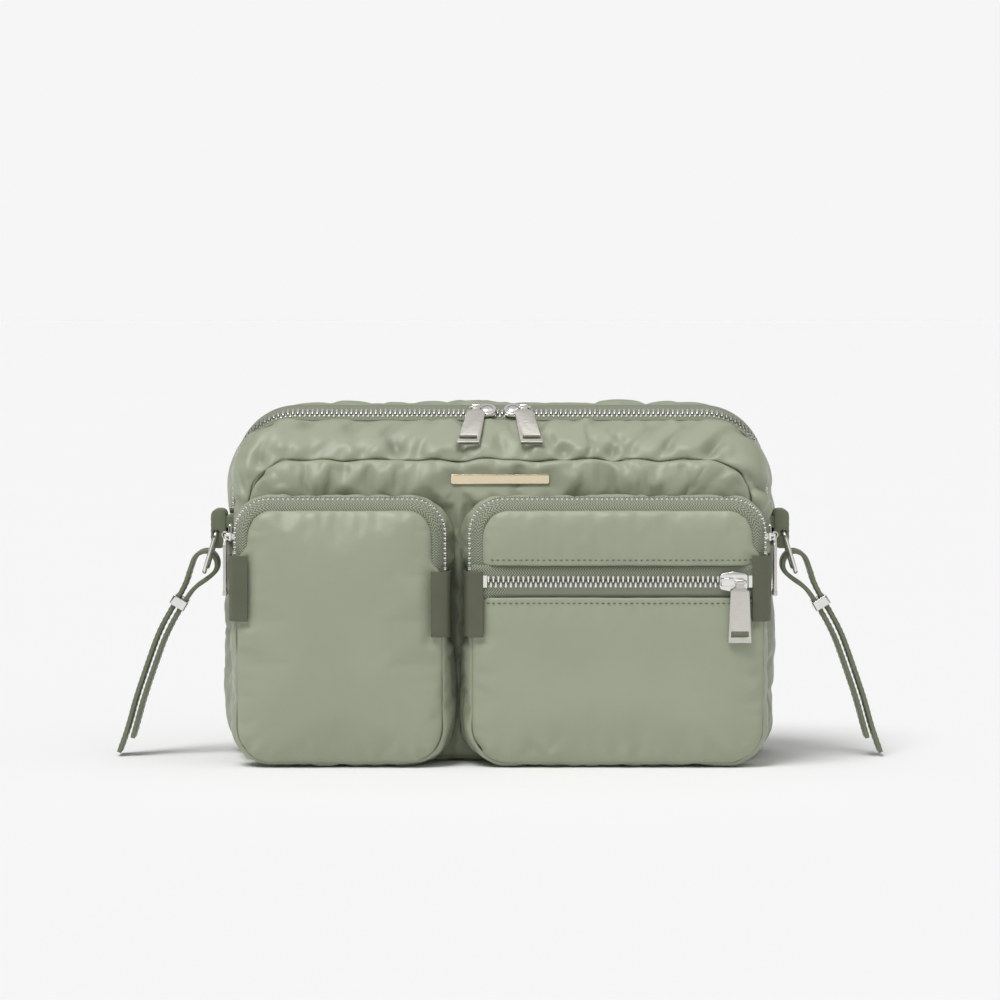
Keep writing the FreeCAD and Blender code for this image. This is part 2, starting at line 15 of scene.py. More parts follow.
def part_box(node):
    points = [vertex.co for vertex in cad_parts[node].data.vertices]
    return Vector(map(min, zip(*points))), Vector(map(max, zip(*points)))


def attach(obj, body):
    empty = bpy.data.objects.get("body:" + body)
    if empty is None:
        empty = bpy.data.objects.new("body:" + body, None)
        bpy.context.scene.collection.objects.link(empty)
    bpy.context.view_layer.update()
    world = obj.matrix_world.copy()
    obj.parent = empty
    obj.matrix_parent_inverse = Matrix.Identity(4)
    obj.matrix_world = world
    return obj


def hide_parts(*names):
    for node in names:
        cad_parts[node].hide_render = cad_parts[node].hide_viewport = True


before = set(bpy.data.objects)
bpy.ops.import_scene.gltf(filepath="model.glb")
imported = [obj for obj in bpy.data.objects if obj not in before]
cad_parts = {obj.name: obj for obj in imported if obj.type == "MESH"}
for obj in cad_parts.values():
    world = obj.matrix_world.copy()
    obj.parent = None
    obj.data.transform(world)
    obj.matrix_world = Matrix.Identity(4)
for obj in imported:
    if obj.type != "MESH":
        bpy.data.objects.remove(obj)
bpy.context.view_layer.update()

MM = 0.001
FLOOR_GAP = 0.3                 # lowest that cloth lies, over the floor
SIM_SCALE = 0.01                # cloth is simulated ten times life size, from millimetres
SIDES = (("left", -1), ("right", 1))
Outline = namedtuple("Outline", "x0 x1 z0 z1 r_top r_bottom")


def node_box(name):
    """A CAD node's lowest and highest corners, in millimetres."""
    low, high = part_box(name)
    return [v / MM for v in low], [v / MM for v in high]


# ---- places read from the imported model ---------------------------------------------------
(front_x0, front_y, front_z0), (front_x1, _, front_z1) = node_box("front_panel")
(back_x0, _, back_z0), (back_x1, back_y, back_z1) = node_box("back_panel")
(crown_x0, _, _), (crown_x1, _, crown_z) = node_box("rear_gusset")

FRONT = Outline(front_x0, front_x1, front_z0, front_z1, 22.0, 16.0)
CROWN = Outline(crown_x0, crown_x1, 0.0, crown_z, 38.0, 18.0)
BACK = Outline(back_x0, back_x1, back_z0, back_z1, 32.0, 18.0)
ZIP = Outline(-136.5, 136.5, 0.0, 176.0, 32.0, 18.0)
ZIP_Y = 10.0
ZIP_BAND = 14.0                 # width of the main zip, from seam to seam
ZIP_TILT = math.radians(36.0)   # along the top
SIDE_TILT = math.radians(2.0)   # down the sides
FRONT_EDGE = 4.7                # from the middle of the main zip to the front band's fold
MAIN_ZIP_END = 125.0            # height of the main zip's two ends
CROWN_Y = 30.0                  # where the rear band stands highest

POCKET_RADII = (18.0, 20.0)
POCKET_ZIP_Y = -38.5
POCKET_ZIP_BAND = 11.0
CHAIN_DEPTH = 1.25              # from a pocket's outline to the middle of its chain
OUTER_ZIP_END = 105.0           # heights of a pocket zip's ends, on the purse's side and inner side
INNER_ZIP_END = 97.0
FRONT_ZIP_Y = -47.3
FRONT_ZIP_Z = 94.0
FRONT_ZIP_GAP = 16.0
FRONT_ZIP_SLIDER_X = 117.0


# ---- outlines ----------------------------------------------------------------------------
def inset(o, distance):
    return Outline(o.x0 + distance, o.x1 - distance, o.z0 + distance, o.z1 - distance,
                   max(o.r_top - distance, 0.5), max(o.r_bottom - distance, 0.5))


def widened(o, distance):
    """Pushed out at the sides and top, but not at the base."""
    return Outline(o.x0 - distance, o.x1 + distance, o.z0, o.z1 + distance,
                   o.r_top + distance, o.r_bottom)


def zip_tilt(segment, t):
    """How far the main zip's tape faces forward at a place on its outline."""
    top = {3: smooth(t), 4: 1.0, 5: smooth(1 - t)}.get(segment, 0.0)
    return SIDE_TILT + (ZIP_TILT - SIDE_TILT) * top


def zip_edge(segment, t, sign):
    """The main zip's sewn edge at a place: sign -1 for the front, 1 for the rear."""
    tilt = zip_tilt(segment, t)
    across = -FRONT_EDGE if sign < 0 else ZIP_BAND / 2
    return widened(ZIP, across * math.sin(tilt)), ZIP_Y + across * math.cos(tilt)


def segment_lengths(o):
    """Lengths of an outline's nine stretches, anticlockwise from the middle of its base."""
    base = (o.x1 - o.x0) / 2 - o.r_bottom
    side = o.z1 - o.z0 - o.r_top - o.r_bottom
    top = o.x1 - o.x0 - 2 * o.r_top
    quarter = math.pi / 2
    return [base, quarter * o.r_bottom, side, quarter * o.r_top, top,
            quarter * o.r_top, side, quarter * o.r_bottom, base]


def on_outline(o, segment, t):
    """The point at share t of one stretch, as (x, z), and the outward direction there."""
    middle = (o.x0 + o.x1) / 2
    corners = {1: (o.x1 - o.r_bottom, o.z0 + o.r_bottom, o.r_bottom, -90),
               3: (o.x1 - o.r_top, o.z1 - o.r_top, o.r_top, 0),
               5: (o.x0 + o.r_top, o.z1 - o.r_top, o.r_top, 90),
               7: (o.x0 + o.r_bottom, o.z0 + o.r_bottom, o.r_bottom, 180)}
    if segment in corners:
        x, z, radius, start = corners[segment]
        angle = math.radians(start + 90 * t)
        out = (math.cos(angle), math.sin(angle))
        return (x + radius * out[0], z + radius * out[1]), out
    straight = {0: ((middle, o.z0), (o.x1 - o.r_bottom, o.z0), (0, -1)),
                2: ((o.x1, o.z0 + o.r_bottom), (o.x1, o.z1 - o.r_top), (1, 0)),
                4: ((o.x1 - o.r_top, o.z1), (o.x0 + o.r_top, o.z1), (0, 1)),
                6: ((o.x0, o.z1 - o.r_top), (o.x0, o.z0 + o.r_bottom), (-1, 0)),
                8: ((o.x0 + o.r_bottom, o.z0), (middle, o.z0), (0, -1))}
    start, end, out = straight[segment]
    return (start[0] + t * (end[0] - start[0]), start[1] + t * (end[1] - start[1])), out


def stations(o, spacing):
    """Evenly spaced places all round an outline, as (segment, share)."""
    lengths = segment_lengths(o)
    ends = np.cumsum(lengths)
    count = round(ends[-1] / spacing)
    found = []
    for at in np.arange(count) / count * ends[-1]:
        segment = int(np.searchsorted(ends, at, side="right"))
        found.append((segment, (at - (ends[segment] - lengths[segment])) / lengths[segment]))
    return found


def smooth(t):
    t = min(max(t, 0.0), 1.0)
    return t * t * (3 - 2 * t)


def ripple(s, wavelength, seed):
    """A smooth random wave between about -1 and 1 along a length s."""
    rng = np.random.default_rng(seed)
    total = np.zeros_like(np.asarray(s, float))
    for share in (0.6, 0.8, 1.0, 1.3, 1.7):
        total = total + np.sin(2 * math.pi * s / (wavelength * share) + rng.uniform(0, 2 * math.pi))
    return total / 3.0


# ---- meshes ------------------------------------------------------------------------------
def add_object(name, data):
    thing = bpy.data.objects.new(name, data)
    bpy.context.scene.collection.objects.link(thing)
    return thing


def add_mesh(name, vertices, faces):
    """A new smooth object from vertices in millimetres."""
    mesh = bpy.data.meshes.new(name)
    mesh.from_pydata([tuple(float(c) * MM for c in v) for v in vertices], [], faces)
    mesh.validate()
    mesh.shade_smooth()
    return add_object(name, mesh)


def add_grid(name, points, closed=False, flip=False):
    """A new object from a grid of points."""
    rows, columns, _ = points.shape
    return add_mesh(name, points.reshape(-1, 3), grid_faces(rows, columns, closed, flip))


def set_values(piece, label, values):
    """Stores a value at each vertex, for a material to read."""
    layer = piece.data.attributes.new(label, "FLOAT", "POINT")
    layer.data.foreach_set("value", values.reshape(-1).astype(np.float32))


def thicken(piece, thickness, offset=-1):
    solid = piece.modifiers.new("Thickness", "SOLIDIFY")
    solid.thickness = thickness * MM
    solid.offset = offset


def running(steps):
    """Distances along a path at each of its points, from the lengths of its steps."""
    return np.concatenate([[0], np.cumsum(steps)])


def grid_faces(rows, columns, closed, flip=False):
    """Quads of a grid of rows by columns, whose last column meets the first where closed."""
    faces = []
    for r in range(rows - 1):
        for c in range(columns if closed else columns - 1):
            d = (c + 1) % columns
            faces.append((r * columns + c, r * columns + d,
                          (r + 1) * columns + d, (r + 1) * columns + c))
    return [face[::-1] for face in faces] if flip else faces


SIM_FRAMES = 22
CLOTH_SETTINGS = {"quality": 6, "mass": 0.1, "air_damping": 2.0, "tension_stiffness": 25,
                  "compression_stiffness": 25, "shear_stiffness": 12, "tension_damping": 8,
                  "compression_damping": 8}


def puffed(points, closed, pins, growth, pressure, bending, flip=False, fullness=None):
    """A grid of points after cloth simulation: cut larger than its seams, and blown out.

    pins is a grid of shares, 1 where a seam holds the cloth; growth is the extra size, which
    a fullness grid of shares spreads unevenly.
    """
    rows, columns, _ = points.shape
    faces = grid_faces(rows, columns, closed, flip)
    mesh = bpy.data.meshes.new("cloth")
    flat = points.reshape(-1, 3)
    mesh.from_pydata([tuple(v) for v in flat * SIM_SCALE], [], faces)
    cloth = add_object("cloth", mesh)
    scene = bpy.context.scene
    group = cloth.vertex_groups.new(name="seam")
    for index, share in enumerate(pins.reshape(-1)):
        if share > 0:
            group.add([index], float(share), "REPLACE")
    modifier = cloth.modifiers.new("Cloth", "CLOTH")
    settings = modifier.settings
    for label, value in CLOTH_SETTINGS.items():
        setattr(settings, label, value)
    settings.bending_stiffness = bending
    settings.vertex_group_mass = "seam"
    settings.shrink_min = -growth
    if fullness is not None:
        # a vertex with weight 1 has shrink_max, and one with weight 0 has shrink_min
        flat_group = cloth.vertex_groups.new(name="flat")
        for index, share in enumerate(fullness.reshape(-1)):
            flat_group.add([index], 1.0 - float(share), "REPLACE")
        settings.vertex_group_shrink = "flat"
        settings.shrink_max = 0.0
    settings.use_pressure = pressure != 0
    settings.uniform_pressure_force = pressure
    settings.effector_weights.gravity = 0
    modifier.collision_settings.use_collision = False
    modifier.point_cache.frame_start = 1
    modifier.point_cache.frame_end = SIM_FRAMES
    for frame_number in range(1, SIM_FRAMES + 1):
        scene.frame_set(frame_number)
    evaluated = cloth.evaluated_get(bpy.context.evaluated_depsgraph_get())
    result = np.array([v.co for v in evaluated.data.vertices]).reshape(points.shape) / SIM_SCALE
    scene.frame_set(1)
    bpy.data.objects.remove(cloth)
    bpy.data.meshes.remove(mesh)
    return result


def panel_grid(o, y, spacing, crown=0.0, edge=0.3):
    """A grid of points over a rounded rectangle, domed towards the front by crown."""
    wide, tall = o.x1 - o.x0, o.z1 - o.z0
    columns, rows = round(wide / spacing) + 1, round(tall / spacing) + 1
    points = np.zeros((rows, columns, 3))
    middle_x, middle_z = (o.x0 + o.x1) / 2, (o.z0 + o.z1) / 2
    for r in range(rows):
        for c in range(columns):
            u, v = 2 * c / (columns - 1) - 1, 2 * r / (rows - 1) - 1
            x, z = u * wide / 2, v * tall / 2
            radius = o.r_top if v > 0 else o.r_bottom
            reach = max(abs(u), abs(v))
            if reach > 0:
                # where the ray from the middle leaves the sharp and the rounded rectangle
                ex, ez = x / reach, z / reach
                cx, cz = wide / 2 - radius, tall / 2 - radius
                shrink = 1.0
                if abs(ex) > cx and abs(ez) > cz:
                    a = ex * ex + ez * ez
                    b = abs(ex) * cx + abs(ez) * cz
                    root = math.sqrt(max(b * b - a * (cx * cx + cz * cz - radius ** 2), 0))
                    shrink = (b + root) / a
                blend = reach ** 3
                x, z = x * (1 - blend + blend * shrink), z * (1 - blend + blend * shrink)
            dome = (1 - abs(u) ** 8) ** edge * (1 - abs(v) ** 8) ** edge if crown else 0.0
            points[r, c] = (middle_x + x, y - crown * dome, middle_z + z)
    return points


def border_pins(rows, columns, closed=False):
    """Pins along a grid's sewn edges."""
    pins = np.zeros((rows, columns))
    pins[0, :] = pins[-1, :] = 1
    if not closed:
        pins[:, 0] = pins[:, -1] = 1
    return pins


def band_grid(places, upper, lower, ends, rows, bulge):
    """Points of a band that runs all round the purse or a pocket, and across it.

    upper and lower are lists of (outline, y) across the band: upper where a zip's arch runs,
    lower below the zip's two ends. upper may be a function of the place instead.
    """
    reference = lower[-1][0]
    points = np.zeros((rows, len(places), 3))
    outward = np.zeros((len(places), 3))
    middle = (reference.x0 + reference.x1) / 2
    for c, (segment, t) in enumerate(places):
        (x, z), out = on_outline(reference, segment, t)
        end = ends[0] if x < middle else ends[1]
        share = smooth((z - end) / 7.0 + 0.5)
        line = []
        above = upper(segment, t) if callable(upper) else upper
        for (high, y_high), (low, y_low) in zip(above, lower):
            (xh, zh), _ = on_outline(high, segment, t)
            (xl, zl), _ = on_outline(low, segment, t)
            line.append(np.array([xl + (xh - xl) * share, y_low + (y_high - y_low) * share,
                                  zl + (zh - zl) * share]))
        steps = [np.linalg.norm(b - a) for a, b in zip(line, line[1:])]
        along = running(steps)
        outward[c] = (out[0], 0, out[1])
        for r in range(rows):
            at = r / (rows - 1) * along[-1]
            point = np.array([np.interp(at, along, [p[k] for p in line]) for k in range(3)])
            lift = bulge * math.sin(math.pi * r / (rows - 1))
            points[r, c] = point + outward[c] * lift
    return points


def wander(points, rows, amount, wavelength, seed):
    """Moves a band's seam rows a little in and out, as hand-guided seams wander."""
    count = points.shape[1]
    s = np.arange(count) * np.linalg.norm(points[rows[0], 1] - points[rows[0], 0])
    period = s[-1] + s[1]
    wave = ripple(s, period / max(round(period / wavelength), 1), seed)
    for row in rows:
        for shift in (0, 1):
            near = min(max(row + (shift if row == 0 else -shift), 0), points.shape[0] - 1)
            points[near, :, 1] += wave * amount * (1 - 0.5 * shift)
    return points


# ---- materials ---------------------------------------------------------------------------
class Look:
    """A material in the making: its shader, and the nodes that feed it."""

    def __init__(self, name):
        self.material = bpy.data.materials.new(name)
        self.material.use_nodes = True
        self.tree = self.material.node_tree

    def feed(self, node, inputs):
        """Sets a node's inputs, each to a value or to another node's output."""
        for label, value in inputs.items():
            if isinstance(value, bpy.types.NodeSocket):
                self.tree.links.new(value, node.inputs[label])
            else:
                node.inputs[label].default_value = value

    def node(self, kind, output, inputs, **settings):
        """Adds a node, and gives one of its outputs."""
        node = self.tree.nodes.new("ShaderNode" + kind)
        for label, value in settings.items():
            setattr(node, label, value)
        self.feed(node, inputs)
        return node.outputs[output]

    def place(self):
        return self.node("TexCoord", "Object", {})

    def attribute(self, name):
        return self.node("Attribute", "Fac", {}, attribute_name=name)

    def mixed(self, factor, low, high):
        """A colour from low to high; low may be another colour's output."""
        if not isinstance(low, bpy.types.NodeSocket):
            low = (*low, 1)
        return self.node("Mix", "Result", {"Factor": factor, "A": low, "B": (*high, 1)},
                         data_type="RGBA")

    def noise(self, scale, detail=3.0, stretch=None):
        """A noise texture in the purse's own space; stretch scales it along X, Y and Z."""
        place = self.place()
        if stretch is not None:
            place = self.node("Mapping", "Vector", {"Scale": stretch, "Vector": place})
        return self.node("TexNoise", "Fac", {"Scale": scale, "Detail": detail, "Vector": place})

    def ranged(self, value, low, high):
        """A noise value spread over low to high."""
        return self.node("MapRange", "Result", {"Value": value, "From Min": 0.3, "From Max": 0.7,
                                                "To Min": low, "To Max": high})

    def bumped(self, height, distance, strength, under=None):
        inputs = {"Height": height, "Distance": distance * MM, "Strength": strength}
        if under is not None:
            inputs["Normal"] = under
        return self.node("Bump", "Normal", inputs)

    def maths(self, operation, *values):
        return self.node("Math", "Value", dict(enumerate(values)), operation=operation)

    def weave(self, pitch):
        """Threads that cross in the three planes of the purse's space."""
        scale = 1.0 / (pitch * MM) / 20.0 * 2 * math.pi
        waves = [self.node("TexWave", "Fac", {"Scale": scale, "Vector": self.place()},
                           bands_direction=direction) for direction in "XYZ"]
        return self.maths("ADD", self.maths("ADD", waves[0], waves[1]), waves[2])

    def finished(self, colour, roughness, normal=None, **inputs):
        """The material. Other inputs of the shader are given by name, with _ for a space."""
        shader = self.tree.nodes["Principled BSDF"]
        self.feed(shader, {"Base Color": colour, "Roughness": roughness})
        if normal is not None:
            self.feed(shader, {"Normal": normal})
        self.feed(shader, {label.replace("_", " "): value for label, value in inputs.items()})
        return self.material


def nylon_material():
    """Satin nylon: fine weave, soft gloss, slight creasing, and shade painted into its creases."""
    look = Look("sage_satin_nylon")
    cloudy = look.mixed(look.noise(30.0), (0.300, 0.328, 0.234), (0.340, 0.368, 0.270))
    creases = look.bumped(look.noise(140.0, 4.0), 0.6, 0.12)
    return look.finished(
        # painted shade: the colour goes towards a near-black green where the crease shade attribute is
        # high
        look.mixed(look.attribute("painted_crease_shade"), cloudy, (0.050, 0.058, 0.036)),
        look.ranged(look.noise(90.0), 0.38, 0.47),
        look.bumped(look.weave(0.45), 0.05, 0.25, creases),
        Sheen_Weight=0.12, Sheen_Roughness=0.35, Specular_IOR_Level=0.42)


HERRINGBONE_RIB = 1.7           # across the tape, between the turns of its threads
HERRINGBONE_THREAD = 1.35       # along the tape, between threads


def tape_material():
    """Woven zip tape: a herringbone that turns back on itself every few threads."""
    look = Look("zip_tape_weave")
    rib = look.maths("PINGPONG", look.attribute("across"), HERRINGBONE_RIB)
    slant = look.maths("ADD", look.attribute("along"), rib)
    thread = look.maths("SINE", look.maths("MULTIPLY", slant, 2 * math.pi / HERRINGBONE_THREAD))
    height = look.maths("MULTIPLY_ADD", thread, 0.5, 0.5)
    return look.finished(
        look.mixed(height, (0.110, 0.124, 0.080), (0.350, 0.380, 0.280)),
        look.ranged(look.noise(300.0), 0.6, 0.75), look.bumped(height, 0.25, 0.9), Sheen_Weight=0.2)


def leather_material(name, dark, light):
    """Smooth coated leather with a fine grain."""
    look = Look(name)
    grain = look.node("TexVoronoi", "Distance", {"Scale": 1400.0, "Vector": look.place()})
    return look.finished(look.mixed(look.noise(60.0), dark, light),
                         look.ranged(look.noise(220.0), 0.36, 0.5), look.bumped(grain, 0.08, 0.35),
                         Specular_IOR_Level=0.5)


def metal_material(name, colour, wear, roughness, stretch=(1, 1, 1), scale=200.0, bump=0.1):
    """Metal whose tone and gloss vary slightly, brushed along an axis where stretched."""
    look = Look(name)
    texture = look.noise(scale, 4.0, stretch)
    return look.finished(look.mixed(texture, wear, colour), look.ranged(texture, *roughness),
                         look.bumped(texture, 0.02, bump), Metallic=1.0)


def thread_material():
    look = Look("sewing_thread")
    # darker than the nylon it is sewn into: partly the thread's own tone, partly painted shade for the
    # shadow that stitches sit in
    colour = look.mixed(look.noise(900.0), (0.075, 0.085, 0.050), (0.150, 0.168, 0.108))
    return look.finished(colour, look.ranged(look.noise(1200.0), 0.5, 0.7))


def lining_material(name, low, high):
    look = Look(name)
    return look.finished(look.mixed(look.noise(80.0), low, high),
                         look.ranged(look.noise(400.0), 0.7, 0.85),
                         look.bumped(look.weave(0.6), 0.06, 0.3))


# a finish is a material, and the record's slot that it shows
Finish = namedtuple("Finish", "material slot")
NYLON = Finish(nylon_material(), "sage_nylon")
TAPE = Finish(tape_material(), "zip_tape")
OLIVE = Finish(
    leather_material("olive_leather", (0.078, 0.084, 0.050), (0.112, 0.120, 0.074)), "olive_leather")
SAGE_LEATHER = Finish(
    leather_material("sage_leather", (0.120, 0.140, 0.080), (0.175, 0.200, 0.125)), "sage_leather")
CHROME = Finish(metal_material(
    "polished_metal", (0.86, 0.85, 0.83), (0.70, 0.69, 0.67), (0.06, 0.16)), "polished_metal")
SATIN = Finish(metal_material(
    "satin_metal", (0.70, 0.68, 0.63), (0.56, 0.54, 0.49), (0.26, 0.40), (1, 1, 14), 260.0, 0.25),
    "satin_metal")
GOLD = Finish(metal_material(
    "pale_gold_metal", (0.84, 0.74, 0.55), (0.70, 0.58, 0.39), (0.14, 0.28)), "pale_gold")
TEETH = Finish(metal_material(
    "zip_teeth_metal", (0.95, 0.94, 0.90), (0.66, 0.65, 0.61), (0.10, 0.24), scale=900.0), "zip_teeth")
THREAD = thread_material()


def dress(piece, finish, body="bag", nodes=()):
    """Gives a piece its finish, the body it moves with, and the CAD nodes it stands for."""
    piece.data.materials.append(finish.material)
    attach(piece, body)
    if nodes:
        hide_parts(*nodes)


# ---- padded nylon ------------------------------------------------------------------------
CLOTH_STEP = 2.2
PADDING = 1.6
# painted shade: the nylon's colour is darkened in its creases, standing in for the shade that falls in
# them
CREASE_SHADE_START = 0.10             # how far under its neighbours a point lies where painted crease shade starts
CREASE_SHADE_FULL = 1.0               # how far under them it lies where the painted shade is full
CREASE_SHADE_SHARE = 0.4              # how much of the dark colour shows there: painted shade, not the cloth's own tone
CREASE_SHADE_REACH = 2                # steps of the grid to those neighbours


def blurred(values, closed, rounds):
    """A grid of values, each averaged with its neighbours a few times."""
    for _ in range(rounds):
        up, down = np.vstack([values[1:], values[-1:]]), np.vstack([values[:1], values[:-1]])
        left, right = np.roll(values, 1, axis=1), np.roll(values, -1, axis=1)
        if not closed:
            left[:, 0], right[:, -1] = values[:, 0], values[:, -1]
        values = (2 * values + up + down + left + right) / 6
    return values


def outward_directions(points, closed, flip):
    """The directions that face out of a grid's surface."""
    across = np.gradient(points, axis=0)
    if closed:
        along = np.roll(points, -1, axis=1) - np.roll(points, 1, axis=1)
    else:
        along = np.gradient(points, axis=1)
    outward = np.cross(along, across) * (-1 if flip else 1)
    return outward / np.maximum(np.linalg.norm(outward, axis=2), 1e-9)[:, :, None]


def painted_crease_shades(points, closed, flip, most):
    """How much painted shade each point gets for lying in a crease, from 0 to most."""
    rows = len(points)
    even = blurred(points, closed, 2)
    reach = CREASE_SHADE_REACH
    r = np.arange(rows)
    up, down = even[np.minimum(r + reach, rows - 1)], even[np.maximum(r - reach, 0)]
    left, right = np.roll(even, reach, axis=1), np.roll(even, -reach, axis=1)
    under = (up + down + left + right) / 4 - even
    depth = (under * outward_directions(even, closed, flip)).sum(axis=2)
    depth[:reach] = depth[-reach:] = 0
    if not closed:
        depth[:, :reach] = depth[:, -reach:] = 0
    share = np.clip((depth - CREASE_SHADE_START) / (CREASE_SHADE_FULL - CREASE_SHADE_START), 0, 1) * most
    return blurred(share, closed, 2)


Folds = namedtuple("Folds", "seam spacing amount reach width seed")


def folded(points, closed, folds, flip):
    """Narrow folds that run in from a piece's seams at a slant, and fade out.

    seam is the side they start from: first or last row, or left or right column.
    """
    rows, columns, _ = points.shape
    row_step = np.linalg.norm(np.diff(points, axis=0), axis=2).mean()
    column_step = np.linalg.norm(np.diff(points, axis=1), axis=2).mean()
    r, c = np.mgrid[0:rows, 0:columns].astype(float)
    lift = np.zeros((rows, columns))
    for set_of in folds:
        place, depth = {"first": (c * column_step, r * row_step),
                        "last": (c * column_step, (rows - 1 - r) * row_step),
                        "left": (r * row_step, c * column_step),
                        "right": (r * row_step, (columns - 1 - c) * column_step)}[set_of.seam]
        length = place.max() + column_step
        rng = np.random.default_rng(set_of.seed)
        at = 0.0
        while at < length - set_of.spacing * 0.5:
            lean, width = rng.uniform(-0.9, 0.9), set_of.width * rng.uniform(0.8, 1.4)
            amount = set_of.amount * rng.uniform(0.35, 1.0)
            reach = set_of.reach * rng.uniform(0.5, 1.2)
            off = place - at - lean * depth
            if closed:
                off = (off + length / 2) % length - length / 2
            fade = np.exp(-(depth / reach) ** 2) * np.clip(depth / 3.5, 0, 1)
            valley = np.exp(-(off / width) ** 2)
            ridge = 0.8 * np.exp(-((off - 1.8 * width) / (1.4 * width)) ** 2)
            lift += amount * fade * (ridge - valley)
            at += set_of.spacing * rng.uniform(0.55, 1.45)
    # cloth that lies on the floor, or nearly, stays flat
    lift *= np.clip((points[:, :, 2] - 2.5) / 6.0, 0, 1)
    return points + outward_directions(points, closed, flip) * lift[:, :, None]


def cloth_piece(name, points, closed, growth, pressure, replaced, flip=False, folds=(),
                pins=None, limit=None, painted_shade_share=CREASE_SHADE_SHARE, bending=0.3, fullness=None):
    """A padded nylon piece: simulated, smoothed, and given its finish. Also gives its points.

    Its seams are pinned unless pins says otherwise.
    """
    if pins is None:
        pins = border_pins(*points.shape[:2], closed)
    points = puffed(points, closed, pins, growth, pressure, bending, flip, fullness)
    if folds:
        points = folded(points, closed, folds, flip)
    if limit is not None:
        points = limit(points)
    points[:, :, 2] = np.maximum(points[:, :, 2], FLOOR_GAP)
    piece = add_grid(name, points, closed, flip)
    # painted shade: how far each point's colour is darkened for lying in a crease
    set_values(piece, "painted_crease_shade", painted_crease_shades(points, closed, flip, painted_shade_share))
    thicken(piece, PADDING)
    softer = piece.modifiers.new("Subdivision", "SUBSURF")
    softer.levels = softer.render_levels = 1
    dress(piece, NYLON, "bag", replaced)
    return points


# ---- camera, light and floor -------------------------------------------------------------
CAMERA_TARGET = (0, -50, 135)
CAMERA_RISE = math.radians(3.0)
CAMERA_AWAY = 2.0               # metres


def set_camera():
    data = bpy.data.cameras.new("camera")
    data.lens = 144
    data.sensor_width = 36
    camera = add_object("camera", data)
    camera.location = Vector(CAMERA_TARGET) * MM + CAMERA_AWAY * Vector(
        (0, -math.cos(CAMERA_RISE), math.sin(CAMERA_RISE)))
    camera.rotation_euler = (math.pi / 2 - CAMERA_RISE, 0, 0)
    bpy.context.scene.camera = camera


def soft_sun(name, direction, strength, spread):
    """A broad, far light that shines along direction."""
    data = bpy.data.lights.new(name, "SUN")
    data.energy = strength
    data.angle = math.radians(spread)
    light = add_object(name, data)
    light.rotation_euler = Vector(direction).to_track_quat("-Z", "Y").to_euler()


def set_light():
    """A pale studio: walls as bright as the floor up to a little above it, greyer higher up."""
    world = bpy.data.worlds.new("studio")
    world.use_nodes = True
    nodes, links = world.node_tree.nodes, world.node_tree.links
    axes = nodes.new("ShaderNodeSeparateXYZ")
    links.new(nodes.new("ShaderNodeTexCoord").outputs["Generated"], axes.inputs["Vector"])
    ramp = nodes.new("ShaderNodeValToRGB")
    tones = ((0.00, 0.92), (0.14, 0.92), (0.26, 0.10), (0.62, 0.16), (0.85, 0.62))
    while len(ramp.color_ramp.elements) < len(tones):
        ramp.color_ramp.elements.new(0.5)
    for element, (height, tone) in zip(ramp.color_ramp.elements, tones):
        element.position = height
        element.color = (tone, tone, tone, 1)
    links.new(axes.outputs["Z"], ramp.inputs["Fac"])
    links.new(ramp.outputs["Color"], nodes["Background"].inputs["Color"])
    bpy.context.scene.world = world
    bpy.context.scene.view_settings.view_transform = "Standard"
    soft_sun("key", (0.32, 0.42, -1.0), 2.12, 30)
    soft_sun("fill", (-0.7, 0.5, -0.9), 0.35, 70)


def set_floor():
    size = 30.0                 # metres
    mesh = bpy.data.meshes.new("floor")
    mesh.from_pydata([(-size, -size, 0), (size, -size, 0), (size, size, 0), (-size, size, 0)], [],
                     [(0, 1, 2, 3)])
    floor = add_object("floor", mesh)
    look = Look("pale_floor")
    pale = look.mixed(look.noise(2.0), (0.876, 0.876, 0.876), (0.884, 0.884, 0.884))
    mesh.materials.append(look.finished(pale, 0.95, Specular_IOR_Level=0.1))


set_camera()
set_light()
set_floor()


# ---- the body: front band, rear band, front and back panels ------------------------------
SEAM_DEPTH = 1.6                # how far a panel's seam lies behind its face
BAND_ROWS = 15


def creased(points, amount, wavelength, slant, seed, forward=0.6):
    """Starts folds in a grid of points: rounded ridges with narrow valleys between them.

    slant leans them along the cloth, and forward is how much they stand out in -Y rather than Z.
    """
    rows, columns, _ = points.shape
    step = np.linalg.norm(points[rows // 2, 1] - points[rows // 2, 0])
    along = np.arange(columns) * step
    lean = slant * (1 + 0.6 * ripple(along, 4 * wavelength, seed + 100))
    out = points.copy()
    for r in range(rows):
        share = math.sin(math.pi * r / (rows - 1)) ** 0.6
        wave = ripple(along + lean * r * step, wavelength, seed)
        ridge = np.sqrt(np.abs(wave) + 0.02) - 0.45
        out[r, :, 1] -= ridge * amount * share * forward
        out[r, :, 2] += ridge * amount * share * (1 - forward)
    return out


def seam_wave(x):
    """How far the seam over the front panel rises and falls along the purse."""
    return 0.9 * ripple(np.asarray(x, float), 33.0, 77)


def gathered(points, wavelength, seed, least=0.15):
    """Where along a band its cloth is full: in some stretches and at the corners, not in others."""
    rows, columns, _ = points.shape
    step = np.linalg.norm(points[rows // 2, 1] - points[rows // 2, 0])
    along = ripple(np.arange(columns) * step, wavelength, seed)
    share = np.clip(0.5 + 0.75 * along, least, 1.0)
    return np.tile(share, (rows, 1))


def eased_excess(values, start, room):
    """How much to take off values so that past start they level out within room."""
    over = np.maximum(values - start, 0)
    return over - room * np.tanh(over / room)


